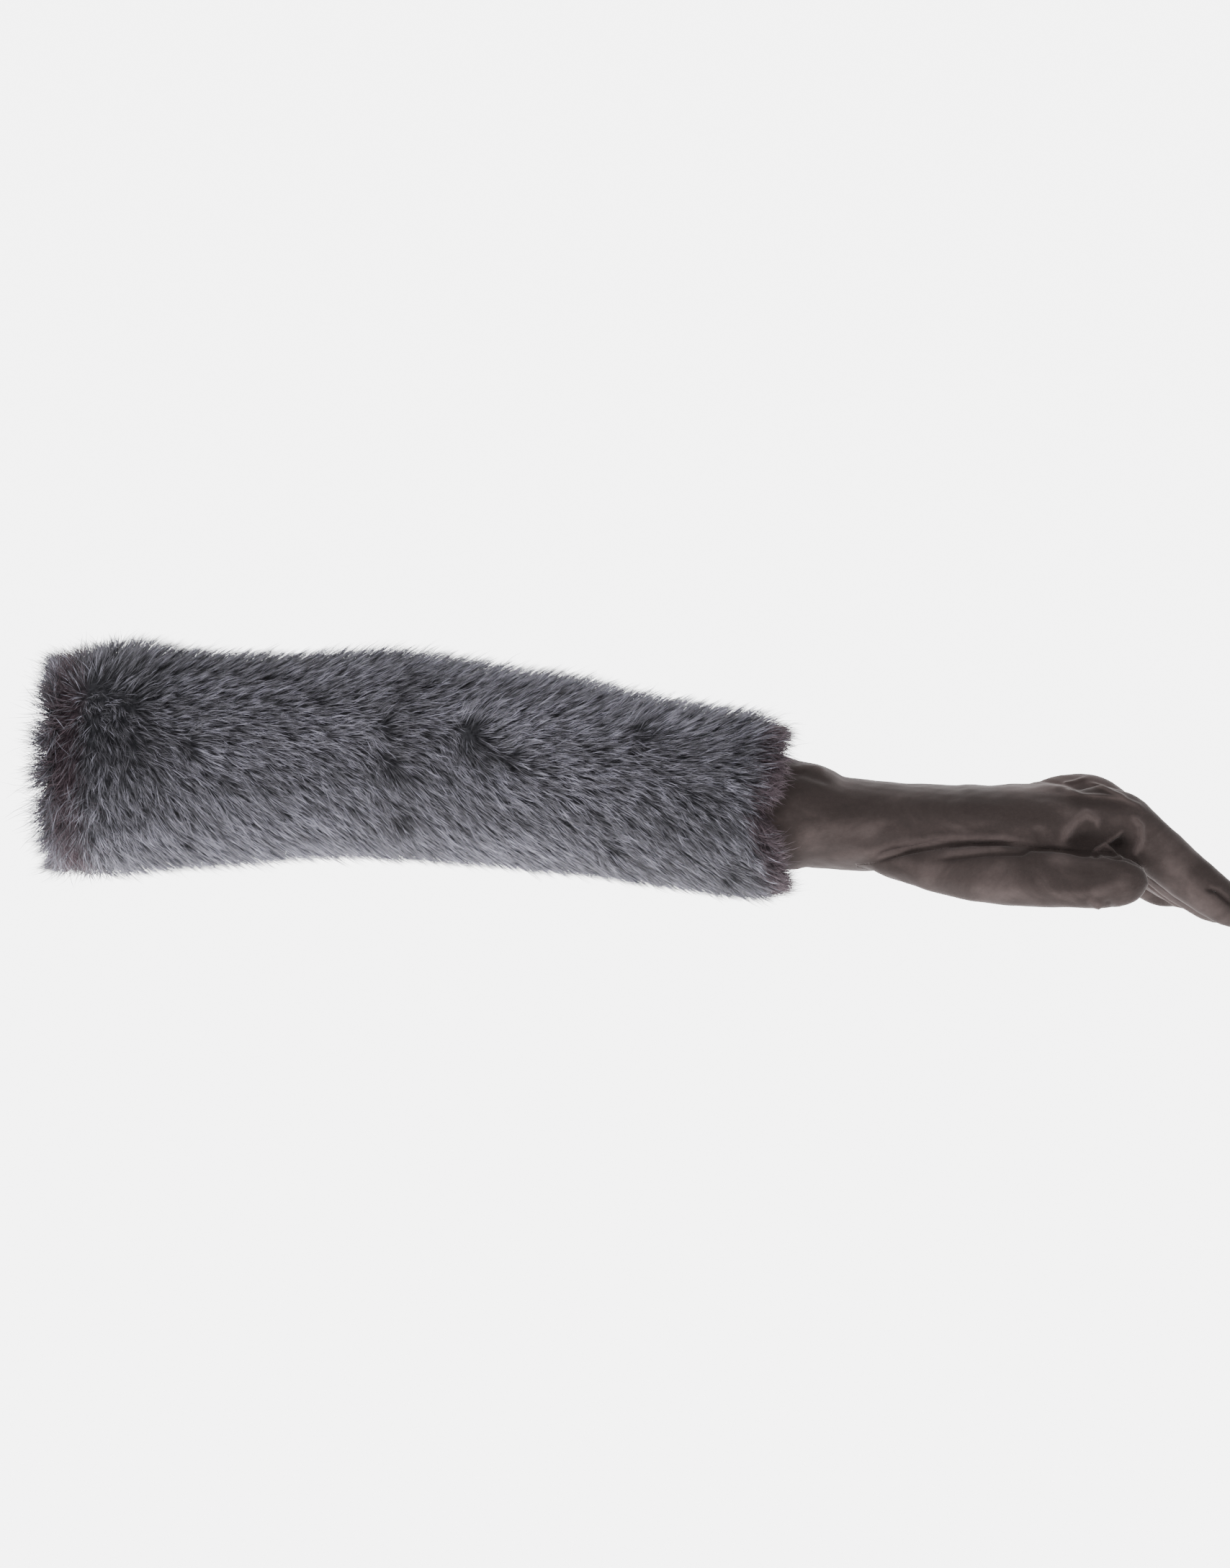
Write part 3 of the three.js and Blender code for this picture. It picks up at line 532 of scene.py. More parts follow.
def waves(points, length, seed, count=7):
    """A soft unevenness from -1 to 1: the mean of sine waves in random directions, each about one length
    long, scaled up to reach its ends now and then."""
    dice = np.random.default_rng(seed)
    way = dice.normal(size=(count, points.shape[1]))
    way *= (2 * np.pi / length * dice.uniform(0.6, 1.5, count) / np.linalg.norm(way, axis=1))[:, None]
    return np.clip(np.sin(points @ way.T + dice.uniform(0, 2 * np.pi, count)).mean(1) * 2.2, -1, 1)


print("The palm's edge stands out by", round(fold_height(np.array([[0.425, 0, -0.035]]))[0] / MM, 2), "mm")


# %% Grooves at the seams
def beside_thumb_seam(points):
    """Signed distance of each point to the edge of the thumb's region, in metres. For each point the nearest
    section of the thumb is found, and the distance to its squared-off oval is taken along the ray from the
    oval's middle. Points that lie before or past the thumb read as far away."""
    centres, wide, tall, _, seams = thumb_tube(0, 160)
    ahead, side, up = along_path(centres)
    (middle, half), wide = seam_oval(tall, seams), wide + SEAM_LAP
    away = np.full(len(points), 1.0)
    x, y, z = points.T / MM
    near = np.nonzero((x > 370) & (x < 530) & (z < -20) & (y < 20))[0]
    p = points[near]
    off = np.einsum("psk,sk->ps", p[:, None] - centres[None], ahead)
    s = np.argmin(np.abs(off), 1)
    inside_run = np.abs(off[np.arange(len(p)), s]) < 1.5 * MM
    local = p - centres[s]
    a = np.abs((local * side[s]).sum(1)) / wide[s]
    b = np.abs((local * up[s]).sum(1) - middle[s]) / half[s]
    ratio = np.maximum((a**SEAM_SQUARE + b**SEAM_SQUARE) ** (1 / SEAM_SQUARE), 1e-6)
    away[near] = np.where(inside_run, np.hypot(a * wide[s], b * half[s]) * (1 - 1 / ratio), 1.0)
    return away


def beside_fourchettes(points):
    """Signed distance to the nearest of the three slabs between the fingers, past the web's end."""
    knuckle, ahead, _ = knuckle_frame()
    along, away = (points - knuckle) @ ahead - STRIP_START, np.full(len(points), 1.0)
    for middle, fan in (between(one, two) for one, two in PAIRS):
        gap = np.abs(points[:, 1] - middle - np.maximum(along, 0) * np.tan(fan)) - FOURCHETTE_WIDE / 2
        away = np.where((along > 0) & (np.abs(gap) < np.abs(away)), gap, away)
    return away


print("The knuckle is", *np.round(beside_fourchettes(knuckle_frame()[0][None]) / MM, 1), "mm from a strip")


# %% Pressing the folds in
def nearness(thing):
    """1 where the skin faces the camera's side and 0 where it faces away, with a smooth change."""
    return ease(-0.25, 0.35, -normals_of(thing)[:, 1])


def pressed(thing, points):
    """Height of the folds and of a soft unevenness at each point. It fades out towards the arm, where the
    skin runs on under the fur."""
    soft = 0.22 * MM * waves(points, 26 * MM, 3) + 0.1 * MM * waves(points, 9 * MM, 4)
    fade = ease(HAND_START, HAND_START + 20 * MM, points[:, 0])
    return (fold_height(points) * nearness(thing) + soft) * fade


for thing in (hand, inside):
    points, normals = points_of(thing), normals_of(thing)
    height = pressed(thing, points)
    if thing is hand:
        fade = ease(388 * MM, 408 * MM, points[:, 0]) * MM
        for seam in (beside_thumb_seam(points) / MM, beside_fourchettes(points) / MM):
            raised, sunk = np.exp(-((np.abs(seam) - 2.0) ** 2)), np.exp(-((seam / 1.1) ** 2))
            height += fade * (0.25 * raised - 0.6 * sunk)
        print("The folds reach from", round(height.min() / MM, 2), "to", round(height.max() / MM, 2), "mm")
    moved(thing, points + normals * height[:, None])

# %% [markdown]
# ## A wall and its seams
# The glove is hollow, so the joined inner tubes are cut out of the skin. The thumb's piece and the strips
# between the fingers, the fourchettes, are sewn in, so each is cut out by the same region that cuts the
# solid model, with a hair's gap for the seam.


# %% The regions that cut
def cut(thing, tool, how):
    """Applies a boolean with another closed mesh: DIFFERENCE takes it away, INTERSECT keeps what both
    have."""
    return applied(thing, BOOLEAN=dict(operation=how, solver="MANIFOLD", object=tool))


def copy_of(thing, name):
    """A new object with its own copy of the mesh."""
    other = bpy.data.objects.new(name, thing.data.copy())
    bpy.context.collection.objects.link(other)
    return other


def thumb_region(extra):
    """The tube that holds the thumb's piece. Each section reaches from under the thumb up to the seam's
    height, and both ends reach out a little."""
    centres, wide, tall, _, seams = thumb_tube(0, 60)
    middle, half = seam_oval(tall, seams)
    centres = centres + along_path(centres)[2] * middle[:, None]
    centres[0] += (centres[0] - centres[2]) / np.linalg.norm(centres[0] - centres[2]) * extra
    centres[-1] += np.array([1.0, 0, 0]) * (SEAM_LAP + extra)
    grid = tube_points(centres, wide + SEAM_LAP + extra, half + extra, SEAM_SQUARE, 64)
    return closed_tubes("region", [grid])


def fourchette_region(one, two, extra):
    """The slab between two fingers, from the web's end to past the tips, turned by their mean fan."""
    knuckle, ahead, up = knuckle_frame()
    start, (middle, fan) = knuckle + ahead * (STRIP_START - extra), between(one, two)
    reach, high, wide = 130 * MM, 70 * MM, FOURCHETTE_WIDE / 2 + extra
    corners = [
        start + ahead * far + up * rise * high + np.array([0, middle + far * np.tan(fan) + right * wide, 0])
        for far in (0, reach) for right, rise in ((-1, -1), (1, -1), (1, 1), (-1, 1))]
    faces = [(0, 3, 2, 1), (4, 5, 6, 7), (0, 1, 5, 4), (1, 2, 6, 5), (2, 3, 7, 6), (3, 0, 4, 7)]
    return make_mesh("region", corners, faces)


print("The strip by the index finger lies", round(between(*PAIRS[0])[0] / MM, 1), "mm across the hand")


# %% Cutting out the thumb and the strips
def dropped(*things):
    """Removes helper objects."""
    for thing in things:
        bpy.data.objects.remove(thing)


cut(hand, inside, "DIFFERENCE")
thumb, region, wider = copy_of(hand, "thumb_suede"), thumb_region(0), thumb_region(SEAM_GAP)
cut(thumb, region, "INTERSECT")
cut(hand, wider, "DIFFERENCE")
strips = []
for one, two in PAIRS:
    slab, wide_slab = fourchette_region(one, two, 0), fourchette_region(one, two, SEAM_GAP)
    strips.append(cut(copy_of(hand, f"strip_{one}_{two}"), slab, "INTERSECT"))
    cut(hand, wide_slab, "DIFFERENCE")
    dropped(slab, wide_slab)
dropped(inside, region, wider)
hand.name = "suede_hand_skin"
for piece in (hand, thumb, *strips):
    piece.data.polygons.foreach_set("use_smooth", np.ones(len(piece.data.polygons), bool))
    print(piece.name, "has", sum(len(p.vertices) - 2 for p in piece.data.polygons), "triangles")

# %% [markdown]
# ## The arm under the fur
# Fur hides this part of the suede, but its edge shows at the glove's opening, and so does its inside. It is
# one tube: the outer skin from the opening to the hand, a rounded edge, and the inner skin back again.


# %% The arm
def arm_sleeve(end, rows=50, sides=72):
    """A tube with a wall: outer oval sections forward, then inner ones back, closed into a ring lengthwise.
    The outer skin has soft waves of a fifth of a millimetre."""
    x = np.linspace(0, end, rows)
    z, wide, tall = arm_at(x)
    centres = np.stack([x, 0 * x, z], -1)
    turn = 2 * np.pi * np.arange(sides) / sides
    oval = np.stack([np.zeros(sides), np.cos(turn), np.sin(turn)], -1)
    sizes = (np.stack([0 * x, wide - less, tall - less], -1)[:, None] for less in (0, WALL))
    outer, inner = (centres[:, None] + oval * size for size in sizes)
    way = outer - centres[:, None]
    bump = 0.2 * MM * waves(outer.reshape(-1, 3), 30 * MM, 8).reshape(rows, sides, 1)
    outer = outer + way / np.linalg.norm(way, axis=2, keepdims=True) * bump
    return make_mesh("suede_arm_skin", np.concatenate([outer, inner[::-1]]), ring_faces(2 * rows, sides))


arm = arm_sleeve(HAND_START + HAND_LAP)
print("The arm's sleeve is", round((HAND_START + HAND_LAP) / MM), "mm long")

# %% [markdown]
# ## The pelt
# Fur is hair that grows out of a skin. The skin here is a sleeve round the suede, a little wavy, rolled
# over at both ends, and dark, because dense short underfur fills the space between the long hairs.
# All the hair is placed on it by two numbers: how far along the cuff, and how far round it.


# %% The pelt's surface
def pelt_at(x, turn, depth):
    """A point on the pelt at x, at an angle round it (0 is +Y, a quarter turn is the top) and at a depth
    over its inner side: the arm's oval, grown by the gap, by the table's standoff and by the depth."""
    share = (x - CUFF_START) / CUFF_LENGTH
    z, wide, tall = arm_at(x)
    room = PELT_GAP + PELT_STANDOFF * read(PELT, 1, share)
    z = z + PELT_STANDOFF * read(PELT, 2, share)
    across, high = np.cos(turn) * (wide + room + depth), np.sin(turn) * (tall + room + depth)
    return np.stack([x + 0 * turn, across, z + high], -1)


def pelt_frame(x, turn):
    """Two directions on the pelt at each place: outwards, square to the oval, and round, along it."""
    _, wide, tall = arm_at(x)
    out = np.stack([0 * turn, np.cos(turn) / wide, np.sin(turn) / tall], -1)
    out /= np.linalg.norm(out, axis=-1, keepdims=True)
    around = np.stack([0 * turn, -out[..., 2], out[..., 1]], -1)
    return out, around


def cuff_end(turn):
    """How far each place of the mouth's rim stands past the pelt's straight end: the rim is drawn back over
    the side of the wrist and reaches forward above and below it."""
    side = np.exp(-(((turn - np.pi * 1.02) / 0.55) ** 2)) + np.exp(-(((turn % (2 * np.pi) - 0.1) / 0.6) ** 2))
    return (-0.5 - 8.0 * side) * MM


def underfur_depth(x, turn):
    """How deep the dense underfur is: nearly seven millimetres, rolled down to the pelt at the hem and the
    rim by a quarter circle."""
    from_end = np.minimum(0.6 * (x - CUFF_START), (CUFF_START + CUFF_LENGTH + cuff_end(turn) - x) / 2)
    return (0.8 + 6.0 * np.sqrt(1 - np.clip(1 - from_end / (7 * MM), 0, 1) ** 2)) * MM


def pelt_sleeve(rows=120, sides=100):
    """The pelt as one closed grid: its hair side from the hem to the mouth, rolled over the rim, and its
    inner side back. The hair side is bumpy by two sets of waves."""
    t = np.linspace(0, 1, rows)[:, None]
    turn = 2 * np.pi * np.arange(sides)[None] / sides
    x = CUFF_START + t * (CUFF_LENGTH + cuff_end(turn)) + 0 * turn
    flat = pelt_at(x, turn + 0 * x, 0 * x)
    bump = 1 + 0.1 * waves(flat.reshape(-1, 3), 14 * MM, 21) + 0.1 * waves(flat.reshape(-1, 3), 6 * MM, 22)
    depth = underfur_depth(x, turn) * bump.reshape(rows, sides)
    grid = np.concatenate([pelt_at(x, turn + 0 * x, depth), flat[::-1]])
    return make_mesh("fur_pelt", grid, ring_faces(2 * rows, sides))


pelt = pelt_sleeve()
print("The pelt has", len(pelt.data.polygons), "faces")

# %% [markdown]
# ## Combing
# The hair lies in streams. It runs back over the opening at the hem, falls down the arm beside it, then runs
# forward to the hand and down the side, and it opens in whorls where the pelt is pushed apart. A comb table
# gives its direction at some places, and between them the directions are mixed by nearness. Each whorl
# turns the hair away from its middle, which opens a dark gap down to the underfur.

# %% The comb
# Place along X in millimetres; height on the side from -1 (bottom) to 1 (top); direction in degrees, 0
# forward, 90 down and -90 up; how much the hair stands up; how light it is, with painted light making the
# bottom rows lighter as if lit from below; how long it is.
COMB = np.array([
    [1, 0.9, 200, 0.4, 0.1, 0.5], [1, 0.5, 192, 0.6, 0.1, 1.1], [1, 0, 180, 0.6, 0.1, 1.4],
    [1, -0.5, 168, 0.7, 0.15, 1.2], [1, -0.9, 150, 0.4, 0.2, 0.5], [7, 0.9, 215, 0.7, 0, 0.72],
    [7, 0.4, 190, 1.1, -0.45, 1], [7, -0.1, 176, 1.1, -0.5, 1], [7, -0.5, 160, 1.1, -0.45, 1],
    [7, -0.9, 140, 0.7, 0.2, 0.8], [13, 0.95, -100, 1.4, -0.2, 1], [13, 0.4, 75, 1.1, -0.6, 0.9],
    [13, 0, 84, 1, -0.6, 0.9], [13, -0.5, 80, 1, -0.3, 1], [13, -0.9, 70, 0.9, 0.2, 1],
    [22, 0.9, -84, 1.5, -0.2, 1.1], [22, 0.45, 70, 1.2, -0.5, 1], [22, 0.1, 76, 1, -0.5, 0.9],
    [22, -0.4, 66, 1, -0.2, 1], [22, -0.85, 40, 0.9, 0.4, 1], [33, 0.85, -50, 1.4, -0.2, 1.1],
    [33, 0.45, 40, 1.1, -0.8, 1], [33, 0.1, 74, 1, -0.8, 0.9], [33, -0.4, 66, 1, -0.2, 1],
    [33, -0.85, 30, 0.9, 0.6, 1], [46, 0.85, -4, 1.1, 0.2, 1], [46, 0.4, 6, 1, 0.25, 1],
    [46, 0, 40, 1, 0, 1], [46, -0.45, 56, 1, -0.05, 1], [46, -0.9, 16, 0.9, 0.35, 1],
    [70, 0.85, 10, 1, 0.2, 1], [70, 0.4, 10, 0.9, 0.25, 1.05], [70, 0, 26, 0.9, 0.15, 1],
    [70, -0.45, 46, 0.9, 0.2, 1], [70, -0.9, 10, 0.9, 0.55, 1], [105, 0.85, 8, 1, 0.15, 1],
    [105, 0.4, 12, 0.9, 0.35, 1.05], [105, 0, 26, 0.9, 0.15, 1], [105, -0.45, 34, 0.9, 0.15, 1],
    [105, -0.9, 8, 0.9, 0.65, 1], [138, 0.85, 2, 1.1, 0.35, 1], [138, 0.4, 10, 0.9, 0.4, 1],
    [138, 0, 30, 0.9, 0.2, 1], [138, -0.45, 38, 0.9, 0.05, 1], [138, -0.9, 18, 0.9, 0.55, 1],
    [150, 0.4, 8, 1, 0.3, 1], [150, 0, 18, 1, 0.3, 1.1], [150, -0.45, 30, 1, 0.15, 1.1],
    [158, 0.4, 14, 0.9, -0.2, 1], [158, 0, 50, 0.9, -0.4, 1], [158, -0.5, 48, 0.9, -0.45, 1],
    [158, -0.9, 26, 0.9, 0.35, 1], [185, 0.85, 4, 1, 0.35, 1], [185, 0.4, 12, 0.9, 0.45, 1],
    [185, 0, 36, 0.9, 0.1, 1], [185, -0.45, 40, 0.9, 0.05, 1], [185, -0.9, 12, 0.9, 0.65, 1],
    [215, 0.85, -4, 1, 0.3, 1], [215, 0.4, 2, 0.9, 0.5, 1], [215, 0, 18, 0.9, 0.3, 1],
    [215, -0.45, 34, 0.9, 0.05, 1], [215, -0.9, 8, 0.9, 0.55, 1], [250, 0.85, -6, 1, 0.4, 1],
    [250, 0.4, 0, 0.9, 0.2, 1], [250, 0, 24, 0.9, 0.2, 1], [250, -0.45, 34, 0.9, -0.05, 1],
    [250, -0.9, 10, 0.9, 0.2, 1], [285, 0.85, -6, 1, 0.4, 1], [285, 0.4, 8, 0.9, 0.1, 1],
    [285, 0, 34, 0.9, -0.2, 1], [285, -0.45, 38, 0.9, -0.25, 1], [285, -0.9, 12, 0.9, -0.05, 1],
    [318, 0.85, 6, 1, 0.3, 1], [318, 0.4, 16, 0.9, 0.05, 1], [318, 0, 34, 0.9, -0.3, 1],
    [318, -0.45, 38, 0.9, -0.3, 1], [318, -0.9, 12, 0.9, -0.25, 1], [336, 0.85, 24, 1, 0.4, 0.95],
    [336, 0.4, 30, 0.9, 0.15, 0.9], [336, 0, 24, 0.8, -0.4, 0.85], [336, -0.45, 24, 0.9, -0.2, 0.9],
    [336, -0.9, 8, 1, -0.05, 0.95]])
# Whorls: place along X in millimetres, height on the side, half size in millimetres, how dark its middle is.
WHORLS = np.array([
    [38, 0.5, 6, 0.4], [40, 0.0, 6, 0.3], [64, 0.16, 5, 0.4], [80, -0.2, 4, 0.3], [153, 0.28, 6, 0.5],
    [157, -0.05, 7, 0.5], [160, -0.6, 5, 0.4], [196, 0.3, 9, 0.8], [212, 0.12, 6, 0.6], [273, 0.62, 6, 0.6],
    [258, -0.68, 5, 0.6], [313, -0.8, 6, 0.5], [334, -0.05, 7, 0.8], [330, -0.4, 5, 0.4], [122, 0.55, 4, 0.3],
    [98, -0.55, 4, 0.2], [232, -0.2, 4, 0.2], [296, 0.1, 5, 0.3]])


def comb(x, turn):
    """Direction (forward and down parts), lift, lightness and length of the hair at each place. Each row of
    the comb counts by a bell curve of its distance, with the height on the side worth 45 mm. The directions
    are mixed as arrows, so that no turn is taken the long way round, and the whorls add arrows that point
    away."""
    high = np.sin(turn)
    dx = x[:, None] / MM - COMB[:, 0]
    dv = (high[:, None] - COMB[:, 1]) * 45
    weight = np.exp(-(dx**2 + dv**2) / (2 * 11.0**2)) + 1e-9
    weight /= weight.sum(1, keepdims=True)
    angle = np.radians(COMB[:, 2])
    way = np.stack([weight @ np.cos(angle), weight @ np.sin(angle)], -1)
    lift, light = weight @ COMB[:, 3], weight @ COMB[:, 4]
    away_x = x[:, None] / MM - WHORLS[:, 0]
    away_v = (WHORLS[:, 1] - high[:, None]) * 42
    far = np.hypot(away_x, away_v)
    pull = np.exp(-((far / (1.5 * WHORLS[:, 2])) ** 2)) * WHORLS[:, 3] / np.maximum(far, 1.0)
    way += 1.5 * np.stack([(pull * away_x).sum(1), (pull * away_v).sum(1)], -1)
    light = light - (np.exp(-((far / WHORLS[:, 2]) ** 2)) * WHORLS[:, 3]).sum(1)
    way /= np.linalg.norm(way, axis=1, keepdims=True)
    return way, lift, light, weight @ COMB[:, 5]


print("The comb has", len(COMB), "rows and", len(WHORLS), "whorls")

# %% [markdown]
# ## Hair
# Blender can grow hair by itself, but such hair doesn't leave Blender as a shape. So each hair is a thin
# ribbon of five triangles along a bent line. Real fur sticks together in locks, so the roots are set in
# groups whose tips draw together, and each lock has its own direction, length and tone.

# %% Locks
LOCKS, EACH, TONES = 23500, 5, 40
LOCK_SPREAD, HAIR_LENGTH, HAIR_WIDE = 1.3 * MM, 11.2 * MM, 0.24 * MM
# A hair's four points along its length, its angle to the pelt at the root and at the tip, how much it is
# lowered where it rolls over the rim, and how far its tip is drawn to its lock's tip.
ALONG = np.array([0.0, 0.36, 0.72, 1.0])
STEEP, FLAT, OVER_RIM = np.radians([54, 20, 48])
TIP_DRAW = 0.3
# How far before the rim the hair starts to roll over it, and how much longer a stray hair is than others.
RIM_ROLL, STRAY_MORE = 14 * MM, 0.42
# A hair's tone is one of a row of columns of its map, and the ribbon takes this share of the column.
COLUMN_SHARE = 0.36
FORWARD = np.array([1.0, 0, 0])


def lock_habits(x, turn, dice):
    """What the hairs of each lock share: its direction, how far it is turned from that, how wild its place
    is, and its length, lift and lightness. Each is the comb's, with soft waves and a random part. A lock is
    wild near the hem and the rim, by a bell curve of the distance."""
    n = len(x)
    way, lift, light, long = comb(x, turn)
    place = np.stack([x, turn * 45 * MM], -1)
    to_rim = (CUFF_START + CUFF_LENGTH + cuff_end(turn) - x) / MM
    wild = np.exp(-(((x / MM - 4) / 9) ** 2)) + np.exp(-((to_rim / 7) ** 2))
    messy = np.maximum(np.exp(-(((x / MM - 20) / 18) ** 2)), wild)
    turned = np.radians(12 + 26 * messy) * waves(place, 9 * MM, 31) + dice.normal(0, 0.14 + 0.2 * messy, n)
    long = long * (1 + 0.12 * dice.normal(size=n))
    lift = lift * (1 + 0.14 * waves(place, 7 * MM, 33) + 0.12 * dice.normal(size=n))
    tone = dice.normal(0, 0.09, n) + 0.08 * waves(place, 5 * MM, 32) + 0.07 * waves(place, 22 * MM, 34)
    return way, turned, wild, long, lift, 0.45 + 0.3 * light + tone


print("There will be", LOCKS, "locks of", EACH, "hairs, and more along both edges")


# %% Hairs
def hairs_on(x, turn, dice):
    """All hairs of the locks whose roots are at (x, turn). A hair starts near its lock's root. It leaves the
    pelt at a steep angle that falls on the way to its tip, so its line is the sum of the steps
    cos(angle) along the pelt and sin(angle) outwards, and its tip is drawn to the lock's own tip. The ribbon
    is half its width to both sides of that line, rolled by a random angle and narrowed to a point.
    Returns the points (hair, 7, 3), the lightness and the roots' places along X."""
    way, turned, wild, long, lift, bright = (np.repeat(v, EACH, 0) for v in lock_habits(x, turn, dice))
    m = len(way)
    off = dice.normal(0, LOCK_SPREAD / 2, (m, 2))
    _, wide, tall = arm_at(x)
    root_x = np.repeat(x, EACH) + off[:, 0]
    root_turn = np.repeat(turn, EACH) + off[:, 1] / np.repeat((wide + tall) / 2, EACH)
    # The direction of each hair: its lock's, turned by a random angle, and never down where the side ends.
    out, around = pelt_frame(root_x, root_turn)
    facing = -np.cos(root_turn)
    angle = turned + dice.normal(0, 0.1, m) * (1 + 2.5 * wild)
    c, s = np.cos(angle), np.sin(angle)
    forward, down = way[:, 0] * c - way[:, 1] * s, way[:, 0] * s + way[:, 1] * c
    down = down * np.sign(facing) * ease(0, 0.35, np.abs(facing))
    along = forward[:, None] * FORWARD + down[:, None] * around
    along /= np.linalg.norm(along, axis=1, keepdims=True)
    sideways = np.cross(out, along)
    # Its length and how it bends.
    stray = (dice.uniform(size=m) < 0.1 * wild) * STRAY_MORE
    over_rim = ease(CUFF_LENGTH - RIM_ROLL, CUFF_LENGTH, root_x - cuff_end(root_turn))
    long = HAIR_LENGTH * long * (1 + (0.13 + 0.14 * wild) * dice.normal(size=m) + stray)
    long = long * (1 - 0.3 * over_rim)
    lift = lift * (1 + 0.3 * wild * dice.normal(size=m))
    steep = (STEEP * np.clip(lift, 0.3, 1.5))[:, None]
    flat = (FLAT * np.clip(lift, 0.2, 2.4) - OVER_RIM * over_rim)[:, None]
    bend, mean = steep + (flat - steep) * ALONG, steep + (flat - steep) * ALONG / 2
    step = ALONG * long[:, None]
    curl = (dice.normal(0, 0.08, m) * (1 + 2 * wild) * long)[:, None] * ALONG**2
    # Its line, from the root in the underfur to the tip, and the ribbon's two sides.
    root = pelt_at(root_x, root_turn, 0.8 * underfur_depth(root_x, root_turn))
    gather = (off[:, :1] * FORWARD + off[:, 1:] * around)[:, None] * (TIP_DRAW * ALONG**1.3)[:, None]
    line = root[:, None] + along[:, None] * (np.cos(mean) * step)[..., None]
    line += out[:, None] * (np.sin(mean) * step)[..., None] + sideways[:, None] * curl[..., None] - gather
    roll = dice.uniform(-0.9, 0.9, m)[:, None, None]
    front = out[:, None] * np.cos(bend)[..., None] - along[:, None] * np.sin(bend)[..., None]
    across = sideways[:, None] * np.cos(roll) + front * np.sin(roll)
    half = HAIR_WIDE / 2 * np.array([0.9, 1.0, 0.75]) * (1 + 0.2 * dice.normal(size=m))[:, None]
    half = across[:, :3] * half[..., None]
    sides = np.stack([line[:, :3] - half, line[:, :3] + half], 2).reshape(m, 6, 3)
    return np.concatenate([sides, line[:, 3:]], 1), bright + dice.normal(0, 0.2, m) + 0.5 * stray, root_x


one_lock = hairs_on(np.array([0.2]), np.array([np.pi]), np.random.default_rng(0))[0]
print("On the near side the first hair of a lock ends at", *np.round(one_lock[0, -1], 4))


# %% Ribbons, and all the hair
def ribbons(name, points, tone):
    """One mesh of ribbons: two quads and a pointed end for each hair. Its own map keeps the hair's tone in
    the first number, as one of a row of narrow columns, and the place from root to tip in the second."""
    m, hair = len(points), np.arange(len(points))[:, None]
    corners = hair * 7 + np.array([0, 1, 3, 2, 2, 3, 5, 4, 4, 5, 6])
    mesh = bpy.data.meshes.new(name)
    mesh.vertices.add(m * 7)
    mesh.vertices.foreach_set("co", points.reshape(-1))
    mesh.loops.add(m * 11)
    mesh.loops.foreach_set("vertex_index", corners.reshape(-1).astype(np.int32))
    mesh.polygons.add(m * 3)
    mesh.polygons.foreach_set("loop_start", (hair * 11 + np.array([0, 4, 8])).reshape(-1).astype(np.int32))
    mesh.update(calc_edges=True)
    mesh.polygons.foreach_set("use_smooth", np.ones(m * 3, bool))
    column = (np.clip(tone, 0, TONES - 1)[:, None] + 0.5) / TONES
    column = column + COLUMN_SHARE / TONES * np.array([-1, 1, 1, -1, -1, 1, 1, -1, -1, 1, 0.0])
    from_root = ALONG[[0, 0, 1, 1, 1, 1, 2, 2, 2, 2, 3]]
    uv = np.stack([column, np.broadcast_to(0.01 + 0.98 * from_root, (m, 11))], -1)
    mesh.uv_layers.new(name="OFBake").data.foreach_set("uv", uv.reshape(-1))
    thing = bpy.data.objects.new(name, mesh)
    bpy.context.collection.objects.link(thing)
    return thing


# The locks' roots are spread evenly by multiples of two numbers whose rests never fall into rows.
dice = np.random.default_rng(7)
share = (np.arange(LOCKS)[:, None] * np.array([0.7548776662466927, 0.5698402909980532]) + 0.5) % 1
lock_turn = share[:, 1] * 2 * np.pi
lock_x = CUFF_START + 1 * MM + share[:, 0] * (CUFF_LENGTH - 2 * MM + cuff_end(lock_turn))
# Denser hair along both edges, so that the pelt's skin doesn't show: two more rows of locks.
hem_turn, rim_turn = dice.uniform(0, 2 * np.pi, LOCKS // 14), dice.uniform(0, 2 * np.pi, LOCKS // 22)
hem_x = CUFF_START + dice.uniform(0.2, 3.5, len(hem_turn)) * MM
rim_x = CUFF_START + CUFF_LENGTH + cuff_end(rim_turn) - dice.uniform(0.2, 4, len(rim_turn)) * MM
lock_x, lock_turn = np.concatenate([lock_x, hem_x, rim_x]), np.concatenate([lock_turn, hem_turn, rim_turn])
points, bright, root_x = hairs_on(lock_x, lock_turn, dice)
# The tone: three quarters of the columns are greys, and the others brown, as the hair is at both edges.
# The brown tones are also darker, painted shade of the turned edges at the hem and the rim.
from_rim = (root_x - np.repeat(cuff_end(lock_turn), EACH) - CUFF_LENGTH) / MM
brown = 1.2 * np.exp(-(((root_x / MM - 10) / 6) ** 2))
brown += 1.3 * np.exp(-((np.minimum(from_rim + 3, 0) / 7) ** 2))
is_brown_shaded = dice.uniform(size=len(brown)) < 0.75 * brown
greys = TONES * 3 // 4
brown_shaded_tone = greys + np.clip(bright * 0.8, 0, 0.99) * (TONES - greys)
tone = np.where(is_brown_shaded, brown_shaded_tone, np.clip(bright, 0, 0.999) * greys).astype(int)
fur = []
ends = np.quantile(root_x, [0, 0.25, 0.5, 0.75, 1])
for k, part in enumerate(("hem", "elbow", "forearm", "mouth")):
    mine = (root_x >= ends[k]) & ((root_x < ends[k + 1]) | (k == 3))
    fur.append(ribbons(f"fur_hair_{part}", points[mine], tone[mine]))
    print("Hair at the", part, "has", int(mine.sum()), "hairs and", int(mine.sum()) * 5, "triangles")
